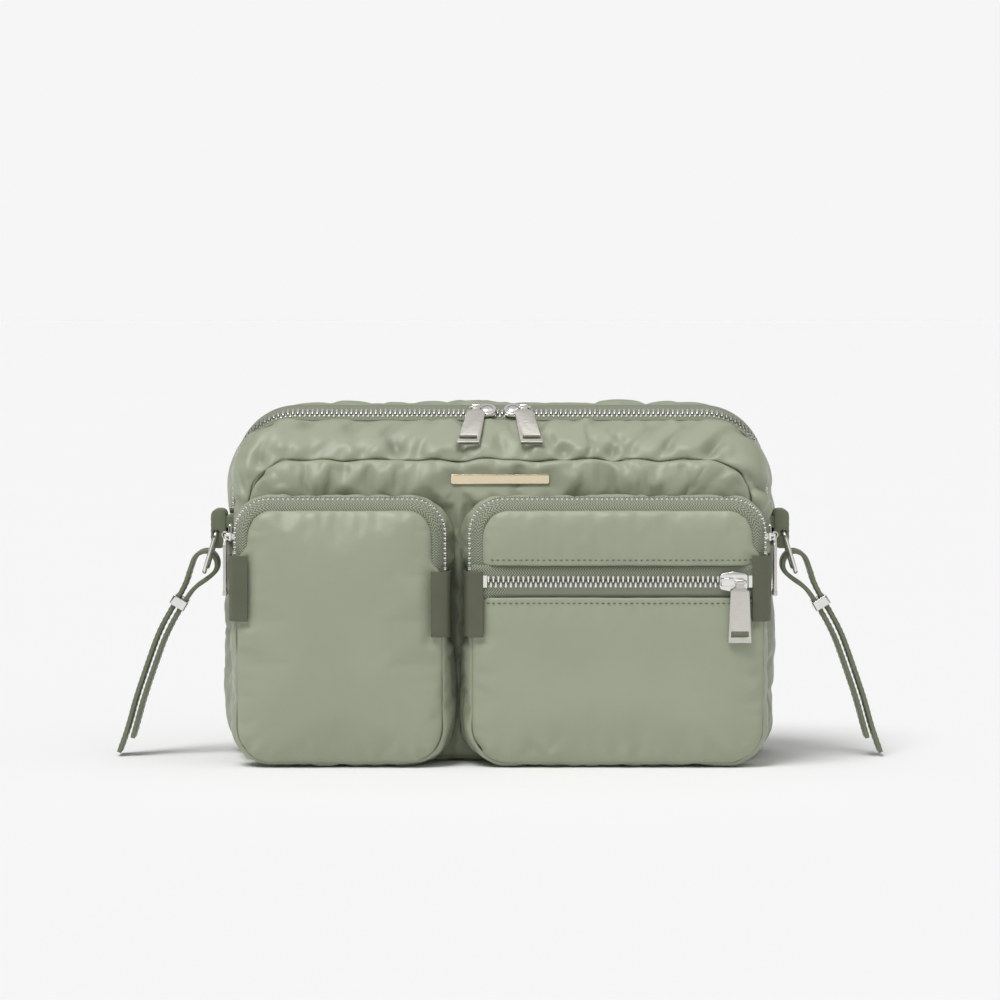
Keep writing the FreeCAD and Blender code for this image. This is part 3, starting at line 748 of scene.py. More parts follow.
def under_pulls(points):
    """Keeps the cloth under the plane that the main pulls slide and lie in."""
    height = ((points[:, :, 2] - ZIP.z1) * math.cos(ZIP_TILT)
              - (points[:, :, 1] - ZIP_Y) * math.sin(ZIP_TILT))
    excess = eased_excess(height, 1.6, 2.0)
    near = np.clip((120.0 - np.abs(points[:, :, 0])) / 12.0, 0, 1)
    excess = excess * near * (points[:, :, 2] > FRONT.z1 - 12.0)
    points[:, :, 1] += excess * math.sin(ZIP_TILT)
    points[:, :, 2] -= excess * math.cos(ZIP_TILT)
    return points


def make_front_band():
    seam = (FRONT, front_y + SEAM_DEPTH)
    low = [seam, (ZIP, ZIP_Y)]

    def top(segment, t):
        return [seam, zip_edge(segment, t, -1)]

    points = band_grid(stations(FRONT, CLOTH_STEP), top, low, (MAIN_ZIP_END, MAIN_ZIP_END), BAND_ROWS, 2.5)
    wander(points, [0], 0.7, 17.0, 3)
    fullness = gathered(points, 95.0, 21)
    points = creased(points, 5.0, 46.0, 0.9, 5)
    for r, share in enumerate((1.0, 0.8, 0.55, 0.3, 0.1)):
        upper = points[r, :, 2] > FRONT.z1 - FRONT.r_top
        points[r, upper, 2] += share * seam_wave(points[r, upper, 0])
    cloth_piece("front_band", points, True, 0.14, 2.4,
                ("front_gusset", "side_gusset_left", "side_gusset_right", "base_panel"),
                bending=0.12, flip=True, fullness=fullness, limit=under_pulls,
                folds=(Folds("first", 13.0, 3.3, 15.0, 2.9, 51),
                       Folds("last", 17.0, 2.0, 10.0, 2.8, 52),
                       Folds("first", 45.0, 4.2, 24.0, 4.8, 53)))


def drooped(points):
    """The rear band's crown stands highest in its middle, and sinks towards its corners."""
    x, y, z = points[:, :, 0], points[:, :, 1], points[:, :, 2]
    toward_corner = np.clip((np.abs(x) - 50.0) / 75.0, 0, 1)
    behind_zip = np.clip((y - 15.0) / 10.0, 0, 1)
    upper = np.clip((z - 115.0) / 20.0, 0, 1)
    points[:, :, 2] = z - (2.2 + 6.0 * toward_corner ** 1.5) * behind_zip * upper
    return points


def make_rear_band():
    seam = (BACK, back_y - SEAM_DEPTH)
    low = [(ZIP, ZIP_Y), (CROWN, CROWN_Y), seam]

    def top(segment, t):
        return [zip_edge(segment, t, 1), (CROWN, CROWN_Y), seam]

    points = band_grid(stations(CROWN, CLOTH_STEP), top, low, (MAIN_ZIP_END, MAIN_ZIP_END), BAND_ROWS, 1.0)
    points = drooped(points)
    fullness = gathered(points, 110.0, 22)
    points = creased(points, 1.0, 52.0, -0.8, 8, 0.2)
    cloth_piece("rear_band", points, True, 0.07, 1.6,
                ("rear_gusset", "side_gusset_left", "side_gusset_right", "base_panel"),
                bending=0.16, flip=True, fullness=fullness,
                folds=(Folds("last", 24.0, 1.4, 13.0, 3.2, 54),
                       Folds("first", 21.0, 1.0, 9.0, 2.8, 55)))


def inside(o, x, z):
    """Whether a point lies in an outline's box; the rounded corners don't matter here."""
    return o.x0 < x < o.x1 and o.z0 < z < o.z1


LEFT_BASE = Outline(-126.0, -23.0, 3.0, 132.0, 18.0, 18.0)
LEFT_POCKET = Outline(-134.0, -27.0, 1.0, 136.0, *POCKET_RADII)
RIGHT_BASE = Outline(-20.0, 126.0, 3.0, 132.0, 18.0, 18.0)
RIGHT_POCKET = Outline(-16.0, 134.0, 1.0, 136.0, *POCKET_RADII)
(bar_x0, bar_y0, bar_z0), (bar_x1, bar_y1, bar_z1) = node_box("name_bar")
BAR_Z = (bar_z0 + bar_z1) / 2
BAR_HELD = (24.0, 2.0)          # half the width and height of the cloth sewn flat behind the bar


def behind_bar(points):
    """Keeps the cloth behind the name bar, and lets it rise gently away from it."""
    x, z = points[:, :, 0], points[:, :, 2]
    aside = np.maximum(np.abs(x) - (bar_x1 - bar_x0) / 2, 0)
    above = np.maximum(np.abs(z - BAR_Z) - (bar_z1 - bar_z0) / 2, 0)
    distance = np.hypot(aside, above)
    points[:, :, 1] = np.maximum(points[:, :, 1], bar_y1 + 0.1 - 0.45 * distance)
    return points


def make_front_panel():
    points = panel_grid(FRONT, front_y + SEAM_DEPTH, CLOTH_STEP, 3.2)
    rows, columns, _ = points.shape
    pins = border_pins(rows, columns)
    for r in range(rows):
        for c in range(columns):
            x, _, z = points[r, c]
            under_bar = abs(x) < BAR_HELD[0] and abs(z - BAR_Z) < BAR_HELD[1]
            if under_bar or any(inside(inset(o, 1.0), x, z) for o in (LEFT_BASE, RIGHT_BASE)):
                pins[r, c] = 1
                points[r, c, 1] = front_y
    points = creased(points, 3.0, 36.0, 0.5, 13, 1.0)
    for r in range(-5, 0):
        points[r, :, 2] += (r + 6) / 5 * seam_wave(points[r, :, 0])
    points[pins == 1, 1] = np.where(points[pins == 1, 1] < front_y, front_y, points[pins == 1, 1])
    cloth_piece("front_panel_cloth", points, False, 0.09, 2.0, ("front_panel",), pins=pins,
                bending=0.15, limit=behind_bar,
                folds=(Folds("last", 15.0, 1.4, 14.0, 2.8, 56),
                       Folds("last", 38.0, 2.0, 24.0, 4.4, 57),
                       Folds("left", 18.0, 1.2, 9.0, 2.8, 58),
                       Folds("right", 18.0, 1.2, 9.0, 2.8, 59)))


def make_back_panel():
    points = panel_grid(BACK, back_y - SEAM_DEPTH, CLOTH_STEP * 1.3, -3.0)
    cloth_piece("back_panel_cloth", points, False, 0.010, 0.12, ("back_panel",), flip=True,
                folds=(Folds("last", 21.0, 0.9, 9.0, 3.2, 60),
                       Folds("first", 30.0, 0.9, 9.0, 3.2, 61)))


make_front_band()
make_rear_band()
make_front_panel()
make_back_panel()


# ---- the front pockets -------------------------------------------------------------------
Pocket = namedtuple("Pocket", "side base outline zip_ends")
LEFT = Pocket("left", LEFT_BASE, LEFT_POCKET, (OUTER_ZIP_END, INNER_ZIP_END))
RIGHT = Pocket("right", RIGHT_BASE, RIGHT_POCKET, (INNER_ZIP_END, OUTER_ZIP_END))
FACE_SEAM_Y = -46.0
FACE_PINCH = 5.3                # how much further in the seam is beside the zip
UNDER_TABS_Y = -47.2            # furthest forward that a face lies under the leather tabs
GUSSET_EDGE_Y = POCKET_ZIP_Y + POCKET_ZIP_BAND / 2
WALL_ROWS = 11


def face_outline(o):
    return Outline(o.x0 + 1.5, o.x1 - 1.5, o.z0 + 0.9, o.z1 - 5.9, 14.7, 19.0)


def pinched(points, zip_ends):
    """A face's points, drawn in at each side where the zip's tape runs beside it."""
    low, high = points[:, :, 0].min(), points[:, :, 0].max()
    for row in points:
        share = (row[:, 0] - low) / (high - low)
        left, right = (FACE_PINCH * smooth((row[0, 2] - end + 1.0) / 9.0) for end in zip_ends)
        row[:, 0] += left * (1 - share) ** 3 - right * share ** 3
    return points


def tabs_of(pocket, points):
    """Each side's sign and edge, and how far each point lies level with its leather tab."""
    z = points[:, :, 2]
    for sign, edge, end in zip((-1, 1), pocket.outline[:2], pocket.zip_ends):
        level_with = np.clip((z - end + 37.0) / 4.0, 0, 1) * np.clip((end + 6.0 - z) / 4.0, 0, 1)
        yield sign, edge, level_with


def inside_tabs(pocket):
    """A limit that holds a pocket's wall flat where its leather tabs are sewn over it."""
    def limit(points):
        for sign, edge, level_with in tabs_of(pocket, points):
            over = np.maximum(sign * (points[:, :, 0] - edge) - 0.1, 0)
            points[:, :, 0] -= sign * over * level_with
        return points
    return limit


def make_pocket_gusset(pocket):
    """The padded wall round a pocket, up to its zip, and to the face seam below the zip's ends."""
    o = pocket.outline
    root = (pocket.base, front_y + 0.5)
    edge = inset(o, CHAIN_DEPTH - 0.4)
    top = [root, (o, GUSSET_EDGE_Y + 3.0), (edge, GUSSET_EDGE_Y + 1.0), (edge, GUSSET_EDGE_Y)]
    low = [root, (o, GUSSET_EDGE_Y), (inset(o, 0.4), FACE_SEAM_Y + 3.0),
           (face_outline(o), FACE_SEAM_Y)]
    points = band_grid(stations(o, CLOTH_STEP), top, low, pocket.zip_ends, WALL_ROWS, 0.8)
    fullness = gathered(points, 60.0, 31)
    points = creased(points, 1.6, 30.0, 0.5, 17)
    cloth_piece(f"{pocket.side}_pocket_wall", points, True, 0.08, 1.2,
                (f"{pocket.side}_pocket_gusset",), bending=0.2, fullness=fullness,
                folds=(Folds("first", 11.0, 1.1, 8.0, 2.5, 62),), limit=inside_tabs(pocket))


def edge_puckers(points, amount, wavelength, seed):
    """Short folds that run in from a face's seams and fade out."""
    rows, columns, _ = points.shape
    for r in range(1, rows - 1):
        for c in range(1, columns - 1):
            from_top, from_base, from_side = rows - 1 - r, r, min(c, columns - 1 - c)
            for distance, along in ((from_top, c), (from_base, c), (from_side, r)):
                wave = float(ripple(along * CLOTH_STEP, wavelength, seed))
                fold = math.sqrt(abs(wave) + 0.02) - 0.45
                points[r, c, 1] -= fold * amount * math.exp(-distance * CLOTH_STEP / 6.0)
    return points


def face_fullness(points):
    """A pocket face is smooth in its middle, and full near its top and its lower corners."""
    rows, columns, _ = points.shape
    share = np.zeros((rows, columns))
    for r in range(rows):
        for c in range(columns):
            u, v = abs(2 * c / (columns - 1) - 1), 2 * r / (rows - 1) - 1
            share[r, c] = max(smooth((v - 0.75) / 0.25),
                              smooth((u - 0.8) / 0.2) * smooth((-v - 0.5) / 0.4))
    return 0.25 + 0.75 * share


def behind_tabs(pocket, also=None):
    """A limit that holds a face flat under the leather tabs, then applies another limit."""
    def limit(points):
        for sign, edge, level_with in tabs_of(pocket, points):
            beside = np.clip((12.0 - sign * (edge - points[:, :, 0])) / 3.5, 0, 1)
            over = np.maximum(UNDER_TABS_Y - points[:, :, 1], 0)
            points[:, :, 1] += over * beside * level_with
        return also(points) if also else points
    return limit


def make_face(name, points, node, growth, pressure, folds, limit, stitched=None):
    """A pocket's padded face, or part of it. Gives its points; stitched is a row held flat."""
    pins = border_pins(*points.shape[:2])
    if stitched is not None:
        pins[stitched] = 1
    return cloth_piece(name, points, False, growth, pressure, (node,), pins=pins, bending=0.5,
                       fullness=face_fullness(points), folds=folds, limit=limit, painted_shade_share=0.0)


def make_left_face():
    points = panel_grid(face_outline(LEFT_POCKET), FACE_SEAM_Y, CLOTH_STEP, 4.4, 0.5)
    points = pinched(points, LEFT.zip_ends)
    points = edge_puckers(points, 1.5, 19.0, 41)
    make_face("left_pocket_front", points, "left_pocket_face", 0.035, 0.4,
              (Folds("last", 7.0, 0.8, 5.5, 2.3, 63), Folds("left", 17.0, 0.9, 7.0, 2.6, 64),
               Folds("right", 17.0, 0.9, 7.0, 2.6, 65), Folds("first", 12.0, 2.4, 9.0, 2.6, 66)),
              behind_tabs(LEFT))


WELT = 2.8                      # from the folded edge along the face's zip to its stitches


def under_front_pull(points):
    """Keeps the right pocket's face behind the pull, over all of its travel along the zip."""
    near = np.clip((points[:, :, 2] - 14.0) / 44.0, 0, 1)
    near = near * near * (3 - 2 * near)
    points[:, :, 1] += eased_excess(-points[:, :, 1], 49.7, 1.1) * near
    return points


def make_right_face():
    """Upper and lower parts of the right pocket's face, each folded back along the zip."""
    whole = panel_grid(face_outline(RIGHT_POCKET), FACE_SEAM_Y, CLOTH_STEP, 4.0, 0.5)
    whole = pinched(whole, RIGHT.zip_ends)
    middle = whole.shape[1] // 2
    rise = whole[1, middle, 2] - whole[0, middle, 2]
    for name, sign in (("lower", -1), ("upper", 1)):
        fold = FRONT_ZIP_Z + sign * FRONT_ZIP_GAP / 2
        rows = [r for r in range(whole.shape[0])
                if sign * (whole[r, middle, 2] - fold) > 0.2 * rise]
        points = whole[rows].copy()
        edge, inward = (-1, -2) if sign < 0 else (0, 1)
        points[edge, :, 2] = fold
        points[inward, :, 2] = fold + sign * WELT
        points[inward, :, 1] += 0.5
        points = edge_puckers(points, 1.3, 21.0, 43)
        seams = (Folds("left", 17.0, 0.9, 7.0, 2.6, 67), Folds("right", 17.0, 0.9, 7.0, 2.6, 68),
                 Folds("last", 8.0, 0.8, 6.0, 2.4, 69) if sign > 0 else
                 Folds("first", 12.0, 2.4, 9.0, 2.6, 69))
        sewn = make_face(f"right_pocket_front_{name}", points, f"right_pocket_face_{name}", 0.022,
                         0.3, seams, behind_tabs(RIGHT, under_front_pull), inward)
        stitch_along(f"right_pocket_stitches_{name}", sewn[inward][2:-2], (0, -1, 0), 2.9, 1.9)


# ---- shared metalwork and sewing shapes --------------------------------------------------
def unit(v):
    v = np.asarray(v, float)
    return v / np.linalg.norm(v)


def placement(origin, x_dir, z_dir):
    """A matrix that sets a shape's own X and Z axes along two directions, at an origin."""
    x, z = unit(x_dir), unit(z_dir)
    matrix = np.eye(4)
    matrix[:3, 0], matrix[:3, 1], matrix[:3, 2], matrix[:3, 3] = x, np.cross(z, x), z, origin
    return Matrix(matrix.tolist())


def piece_from(name, form, crease=35.0):
    """A new object from a bmesh in millimetres, smooth but for edges sharper than crease."""
    bmesh.ops.scale(form, vec=(MM, MM, MM), verts=form.verts)
    mesh = bpy.data.meshes.new(name)
    form.to_mesh(mesh)
    form.free()
    mesh.shade_smooth()
    mesh.set_sharp_from_angle(angle=math.radians(crease))
    return add_object(name, mesh)


def merge(target, addition, matrix=None):
    """Adds one bmesh to another, where matrix puts it."""
    if matrix is not None:
        bmesh.ops.transform(addition, matrix=matrix, verts=addition.verts)
    mesh = bpy.data.meshes.new("part")
    addition.to_mesh(mesh)
    addition.free()
    target.from_mesh(mesh)
    bpy.data.meshes.remove(mesh)


def rectangle(x0, y0, x1, y1):
    return (x0, y0), (x1, y0), (x1, y1), (x0, y1)


def rounded(points, radius, steps=6):
    """A polygon's points with its corners rounded."""
    points = [np.array(p, float) for p in points]
    found = []
    count = len(points)
    for i, corner in enumerate(points):
        run_in, run_out = unit(corner - points[i - 1]), unit(points[(i + 1) % count] - corner)
        turn = math.acos(np.clip(np.dot(run_in, run_out), -1, 1))
        setback = radius * math.tan(turn / 2)
        start, end = corner - run_in * setback, corner + run_out * setback
        for step in range(steps + 1):
            t = step / steps
            found.append((1 - t) ** 2 * start + 2 * t * (1 - t) * corner + t * t * end)
    return found


def plate(outline, thickness, bevel, holes=()):
    """A flat plate in its own XY plane, with rounded edges, as a bmesh."""
    curve = bpy.data.curves.new("plate", "CURVE")
    curve.dimensions = "2D"
    curve.fill_mode = "BOTH"
    curve.extrude = thickness / 2 - bevel
    curve.bevel_depth = bevel
    curve.bevel_resolution = 2
    curve.offset = -bevel
    for ring_points in (outline, *holes):
        spline = curve.splines.new("POLY")
        spline.points.add(len(ring_points) - 1)
        for point, (x, y) in zip(spline.points, ring_points):
            point.co = (x, y, 0, 1)
        spline.use_cyclic_u = True
    holder = bpy.data.objects.new("plate", curve)
    mesh = bpy.data.meshes.new_from_object(holder)
    form = bmesh.new()
    form.from_mesh(mesh)
    bmesh.ops.remove_doubles(form, verts=form.verts, dist=1e-4)
    bpy.data.objects.remove(holder)
    bpy.data.curves.remove(curve)
    bpy.data.meshes.remove(mesh)
    return form


def swept(path, section, fixed, closed=False):
    """A section carried along a path that lies in the plane square to fixed, as a bmesh."""
    path = np.asarray(path, float)
    fixed = unit(fixed)
    count, around = len(path), len(section)
    form = bmesh.new()
    rings = []
    for i, point in enumerate(path):
        before = path[i - 1] if closed or i > 0 else path[0]
        after = path[(i + 1) % count] if closed or i < count - 1 else path[-1]
        normal = np.cross(unit(after - before), fixed)
        rings.append([form.verts.new(point + fixed * a + normal * b) for a, b in section])
    for i in range(count if closed else count - 1):
        here, there = rings[i], rings[(i + 1) % count]
        for k in range(around):
            n = (k + 1) % around
            form.faces.new((here[k], here[n], there[n], there[k]))
    if not closed:
        form.faces.new(rings[0][::-1])
        form.faces.new(rings[-1])
    bmesh.ops.recalc_face_normals(form, faces=form.faces)
    return form


def round_section(radius, steps=12):
    return [(radius * math.cos(2 * math.pi * k / steps), radius * math.sin(2 * math.pi * k / steps))
            for k in range(steps)]


def flat_section(width, thickness, edge):
    """A strap's section: a rectangle with rounded edges, as (across, through)."""
    corners = rectangle(-width / 2, -thickness / 2, width / 2, thickness / 2)
    return [tuple(p) for p in rounded(corners, edge, 3)]


def turned(profile, steps=28):
    """A shape turned about its own Z axis, as a bmesh, from (radius, height) points to its tip."""
    form = bmesh.new()
    rings = [[form.verts.new((a, b, height)) for a, b in round_section(radius, steps)]
             for radius, height in profile[:-1]]
    tip = form.verts.new((0, 0, profile[-1][1]))
    for low, high in zip(rings, rings[1:]):
        for k in range(steps):
            n = (k + 1) % steps
            form.faces.new((low[k], low[n], high[n], high[k]))
    for k in range(steps):
        form.faces.new((rings[-1][k], rings[-1][(k + 1) % steps], tip))
    bmesh.ops.recalc_face_normals(form, faces=form.faces)
    return form


def copies(name, form, matrices):
    """One object made of a small form repeated at each matrix."""
    corners = np.array([v.co[:] for v in form.verts])
    faces = [[v.index for v in face.verts] for face in form.faces]
    form.free()
    vertices, polygons = [], []
    for matrix in matrices:
        m = np.array(matrix)
        offset = len(vertices)
        vertices.extend(corners @ m[:3, :3].T + m[:3, 3])
        polygons.extend([[offset + i for i in face] for face in faces])
    piece = add_mesh(name, vertices, polygons)
    piece.data.set_sharp_from_angle(angle=math.radians(40))
    return piece


def stitch_along(name, path, outward, pitch, length, on=NYLON, body="bag", radius=0.34, lift=0.3):
    """A line of single stitches along a path, each a short rounded thread."""
    path = np.asarray(path, float)
    along = running(np.linalg.norm(np.diff(path, axis=0), axis=1))

    def at_distance(distance):
        return np.array([np.interp(distance, along, path[:, k]) for k in range(3)])

    form = bmesh.new()
    bmesh.ops.create_icosphere(form, subdivisions=1, radius=1.0)
    bmesh.ops.scale(form, vec=(length / 2, radius, radius), verts=form.verts)
    matrices = []
    for at in np.arange(pitch / 2, along[-1], pitch):
        direction = unit(at_distance(min(at + 0.5, along[-1])) - at_distance(max(at - 0.5, 0)))
        side = unit(np.cross(outward, direction))
        matrices.append(placement(at_distance(at) + unit(outward) * lift, direction,
                                  np.cross(direction, side)))
    dress(copies(name, form, matrices), Finish(THREAD, on.slot), body)


for pocket in (LEFT, RIGHT):
    make_pocket_gusset(pocket)
make_left_face()
make_right_face()


# ---- zips round an arch ------------------------------------------------------------------
TOOTH_PITCH = 2.5
TOOTH_DEPTH = 2.5               # through the tape
TOOTH_WIDTH = 1.15              # along the tape
TEETH_START = 3.4               # from a pocket zip's end, or the main zip's, to its first tooth
PLACE_STEP = 1.25               # between a tape's points along its length
ROW_EDGE = 3.0                  # outer edge of each row of teeth, from the middle of the chain
TAPE_THICKNESS = 0.8
TAPE_END = 10.0                 # how far a tape runs on past its chain, out of sight


def arch(o, ends, spacing, shift=0.0):
    """Evenly spaced places on an outline, from its right end over its top to its left end."""
    lengths = segment_lengths(o)
    first = ends[1] - (o.z0 + o.r_bottom)
    total = sum(lengths[2:7]) - first - (ends[0] - (o.z0 + o.r_bottom))
    count = round(total / spacing)
    places = []
    for i in range(count + (shift == 0)):
        at = first + total * (i + shift) / count
        segment = 2
        while segment < 6 and at > lengths[segment]:
            at -= lengths[segment]
            segment += 1
        places.append((segment, at / lengths[segment]))
    return places


def tooth_form():
    """One zip tooth: long across the tape (X), short along it (Y), narrower at its head."""
    form = bmesh.new()
    bmesh.ops.create_cube(form, size=1.0)
    length = ROW_EDGE + 0.55    # past the middle of the chain, into the other row
    bmesh.ops.scale(form, vec=(length, TOOTH_WIDTH, TOOTH_DEPTH), verts=form.verts)
    for v in form.verts:
        if v.co.x < 0:
            v.co.y *= 0.78
            v.co.z *= 0.86
    bmesh.ops.bevel(form, geom=form.edges[:], offset=0.28, segments=2, affect="EDGES", profile=0.5)
    bmesh.ops.translate(form, vec=(ROW_EDGE - length / 2, 0, 0), verts=form.verts)
    return form


def teeth_piece(node, matrices):
    """A row of teeth, one at each matrix."""
    dress(copies(f"{node}_row", tooth_form(), matrices), TEETH, nodes=(node,))


def tape_piece(node, rows):
    """A woven tape from rows of points across it, with its own lengths along and across."""
    points = np.array(rows)
    piece = add_grid(f"{node}_weave", points)
    along = running(np.linalg.norm(np.diff(points[0], axis=0), axis=1))
    across = running([np.linalg.norm(b[0] - a[0]) for a, b in zip(points, points[1:])])
    set_values(piece, "along", np.tile(along, len(across)))
    set_values(piece, "across", np.repeat(across, len(along)))
    thicken(piece, TAPE_THICKNESS, 0)
    dress(piece, TAPE, nodes=(node,))


def arch_point(o, place, y, depth):
    """A point at a depth inside an outline, and the outward direction there."""
    (x, z), out = on_outline(o, *place)
    return np.array([x - out[0] * depth, y, z - out[1] * depth]), np.array([out[0], 0, out[1]])


def level(segment, t):
    """A pocket's zip faces straight out of its outline all the way."""
    return 0.0


def make_arch_zip(name, o, y, tilt_at, depth, ends, tapes):
    """Tapes and teeth. tapes gives each tape's rows, as functions from a place to (y, depth)."""
    places = arch(o, tuple(z - TAPE_END for z in ends), PLACE_STEP)
    back = np.array([0.0, 1.0, 0.0])
    for side, rows in tapes.items():
        grid = [[arch_point(o, place, *row(*place))[0] for place in places] for row in rows]
        tape_piece(f"{name}_tape_{side}", grid)
    teeth_ends = tuple(z + TEETH_START for z in ends)
    for side, sign, shift in (("front", -1, 0.0), ("rear", 1, 0.5)):
        matrices = []
        for place in arch(o, teeth_ends, TOOTH_PITCH, shift):
            middle, out = arch_point(o, place, y, depth)
            tilt = tilt_at(*place)
            across = sign * (back * math.cos(tilt) + out * math.sin(tilt))
            off_tape = out * math.cos(tilt) - back * math.sin(tilt)
            matrices.append(placement(middle, across, off_tape))
        teeth_piece(f"{name}_teeth_{side}", matrices)


def slanted(across):
    """A row of the main zip's tape, across from its middle."""
    def row(segment, t):
        tilt = zip_tilt(segment, t)
        return ZIP_Y + across * math.cos(tilt), -across * math.sin(tilt)
    return row


def fixed_row(y, depth):
    """A row of a pocket zip's tape, the same all along."""
    return lambda segment, t: (y, depth)


def make_arch_zips():
    half = ZIP_BAND / 2
    front = (-FRONT_EDGE - 0.8, -FRONT_EDGE + 0.2, -2.9, -0.9)
    rear = (0.9, 2.9, half - 2, half + 0.4)
    make_arch_zip("main_zip", ZIP, ZIP_Y, zip_tilt, 0.0, (MAIN_ZIP_END, MAIN_ZIP_END),
                  {"front": [slanted(a) for a in front], "rear": [slanted(a) for a in rear]})
    middle = POCKET_ZIP_Y
    # the front tape rolls over to face forward, down to the seam of the pocket's face
    rolled = [fixed_row(*row) for row in (
        (FACE_SEAM_Y + 0.6, 8.4), (FACE_SEAM_Y + 0.1, 6.6), (FACE_SEAM_Y + 0.6, 4.8), (-44.3, 3.4),
        (-43.0, 2.4), (-41.6, 1.7), (-40.4, 1.3), (middle - 0.9, CHAIN_DEPTH))]
    flat = [fixed_row(y, CHAIN_DEPTH) for y in (middle + 0.9, middle + 3.2, GUSSET_EDGE_Y + 0.5)]
    for pocket in (LEFT, RIGHT):
        make_arch_zip(f"{pocket.side}_pocket_zip", pocket.outline, middle, level, CHAIN_DEPTH,
                      pocket.zip_ends, {"front": rolled, "rear": flat})


(path_x0, _, _), (path_x1, _, _) = node_box("front_zip_tape_upper")


def make_front_zip():
    """The straight zip across the right pocket's face."""
    hidden = 5.0                # how far the tape runs on under the pocket's wall
    columns = np.linspace(path_x0 - hidden, path_x1 + hidden,
                          round((path_x1 - path_x0) / PLACE_STEP))
    first, last = path_x0 + 3.2, path_x1 - 3.2
    count = int((last - first) / TOOTH_PITCH)
    for side, sign, shift in (("upper", 1, 0.0), ("lower", -1, 0.5)):
        heights = [FRONT_ZIP_Z + sign * a for a in (0.9, 3.4, 5.6, FRONT_ZIP_GAP / 2 + 0.4)]
        grid = [[(x, FRONT_ZIP_Y, z) for x in columns] for z in heights]
        tape_piece(f"front_zip_tape_{side}", grid)
        matrices = [placement((first + (i + shift) * TOOTH_PITCH, FRONT_ZIP_Y, FRONT_ZIP_Z),
                              (0, 0, sign), (0, -1, 0)) for i in range(count)]
        teeth_piece(f"front_zip_teeth_{side}", matrices)


# ---- sliders and pulls -------------------------------------------------------------------
SLIDER_LENGTH = 14.0
SLIDER_WIDTH = 10.4
SLIDER_GAP = 0.45               # between the teeth and each plate of a slider
BAIL_SHIFT = 3.0                # from the middle of a slider to its bail
ARC_SLIDER_LENGTH = 9.0         # the pocket sliders are shorter, to run round a bend
ARC_SLIDER_GAP = 1.0
ARC_BAIL_SHIFT = -1.0
PLATE = 1.2
BAIL_HEIGHT = 2.1
MAIN_SLIDER_X = 9.2
PULL_LENGTH = 30.5
PULL_TOP = 9.4                  # widths of a pull
PULL_BOTTOM = 11.6
PULL_THICKNESS = 1.6


def slider_form(length, gap, bail_shift, bail_across, domed):
    """A slider about the middle of its chain: X along the zip, Z out of the tape."""
    half = TOOTH_DEPTH / 2 + gap
    wide, narrow, reach = SLIDER_WIDTH / 2, SLIDER_WIDTH / 2 - 1.4, length / 2
    boat = rounded([(-reach, -narrow), (0, -wide), (reach, -narrow), (reach, narrow), (0, wide),
                    (-reach, narrow)], 1.6, 8)
    form = bmesh.new()
    for z in (half + PLATE / 2, -half - PLATE / 2):
        merge(form, plate(boat, PLATE, 0.32), Matrix.Translation((0, 0, z)))
    post = plate(rounded(rectangle(-1.5, -0.3, 1.5, 0.3), 0.12), 2 * half, 0.05)
    merge(form, post, Matrix.Translation((-reach + 2.5, 0, 0)))
    top = half + PLATE
    leg, bar = 2.9, top + BAIL_HEIGHT
    arch_path = [(-leg, 0, top - 0.3), (-leg, 0, bar - 1.1), (-leg + 0.35, 0, bar - 0.35),
                 (-leg + 1.2, 0, bar), (leg - 1.2, 0, bar), (leg - 0.35, 0, bar - 0.35),
                 (leg, 0, bar - 1.1), (leg, 0, top - 0.3)]
    bail = swept(arch_path, flat_section(1.7, 1.3, 0.55), (0, 1, 0))
    turn = Matrix.Rotation(math.pi / 2, 4, "Z") if bail_across else Matrix.Identity(4)
    merge(form, bail, Matrix.Translation((bail_shift, 0, 0)) @ turn)
    if domed:
        cap = turned([(4.7, 0.0), (4.7, 0.5), (4.45, 0.95), (3.9, 1.15), (3.3, 1.0), (2.9, 0.95),
                      (2.2, 1.35), (1.2, 1.6), (0, 1.7)])
        merge(form, cap, Matrix.Translation((-reach + 4.3, 0, top - 0.1)))
    else:
        crest = [(-reach + 0.8, 0, top - 0.1), (-reach + 1.6, 0, top + 1.1),
                 (-reach + 3.4, 0, top + 1.9), (bail_shift - leg, 0, top + 1.5)]
        merge(form, swept(crest, flat_section(4.2, 1.2, 0.5), (0, 1, 0)))
    return form


def pull_form(lean):
    """A slotted plain tab that hangs down Z from its eye around the X axis."""
    neck = 2.0
    left, right = lean - PULL_BOTTOM / 2, lean + PULL_BOTTOM / 2
    outline = rounded([(-neck, 0.6), (-neck, -2.6), (-PULL_TOP / 2, -4.6), (left, -PULL_LENGTH),
                       (right, -PULL_LENGTH), (PULL_TOP / 2, -4.6), (neck, -2.6), (neck, 0.6)],
                      0.45)
    width, rise, height = PULL_BOTTOM - 2.8, 4.3, 3.0
    low, high = -PULL_LENGTH + rise - height / 2, -PULL_LENGTH + rise + height / 2
    slot = rounded(rectangle(lean - width / 2, low, lean + width / 2, high), 0.5)
    upright = Matrix.Rotation(math.pi / 2, 4, "X")
    form = bmesh.new()
    tab = plate(outline, PULL_THICKNESS, 0.22, (slot,))
    # the eye's bore takes the top of the tab, so the tab starts under it
    for v in [v for v in tab.verts if v.co.y > -1.2]:
        v.co.y = min(v.co.y, -1.2)
    merge(form, tab, upright)
    lip = rounded([(left, -PULL_LENGTH), (right, -PULL_LENGTH), (right - 0.1, low - 0.2),
                   (left + 0.1, low - 0.2)], 0.3)
    merge(form, plate(lip, PULL_THICKNESS + 0.5, 0.25), upright)
    angles = np.linspace(0, 2 * math.pi, 25)[:-1]
    eye = [(0, 1.35 * math.cos(a), 1.35 * math.sin(a)) for a in angles]
    merge(form, swept(eye, flat_section(4.0, 0.7, 0.25), (1, 0, 0), closed=True))
    return form


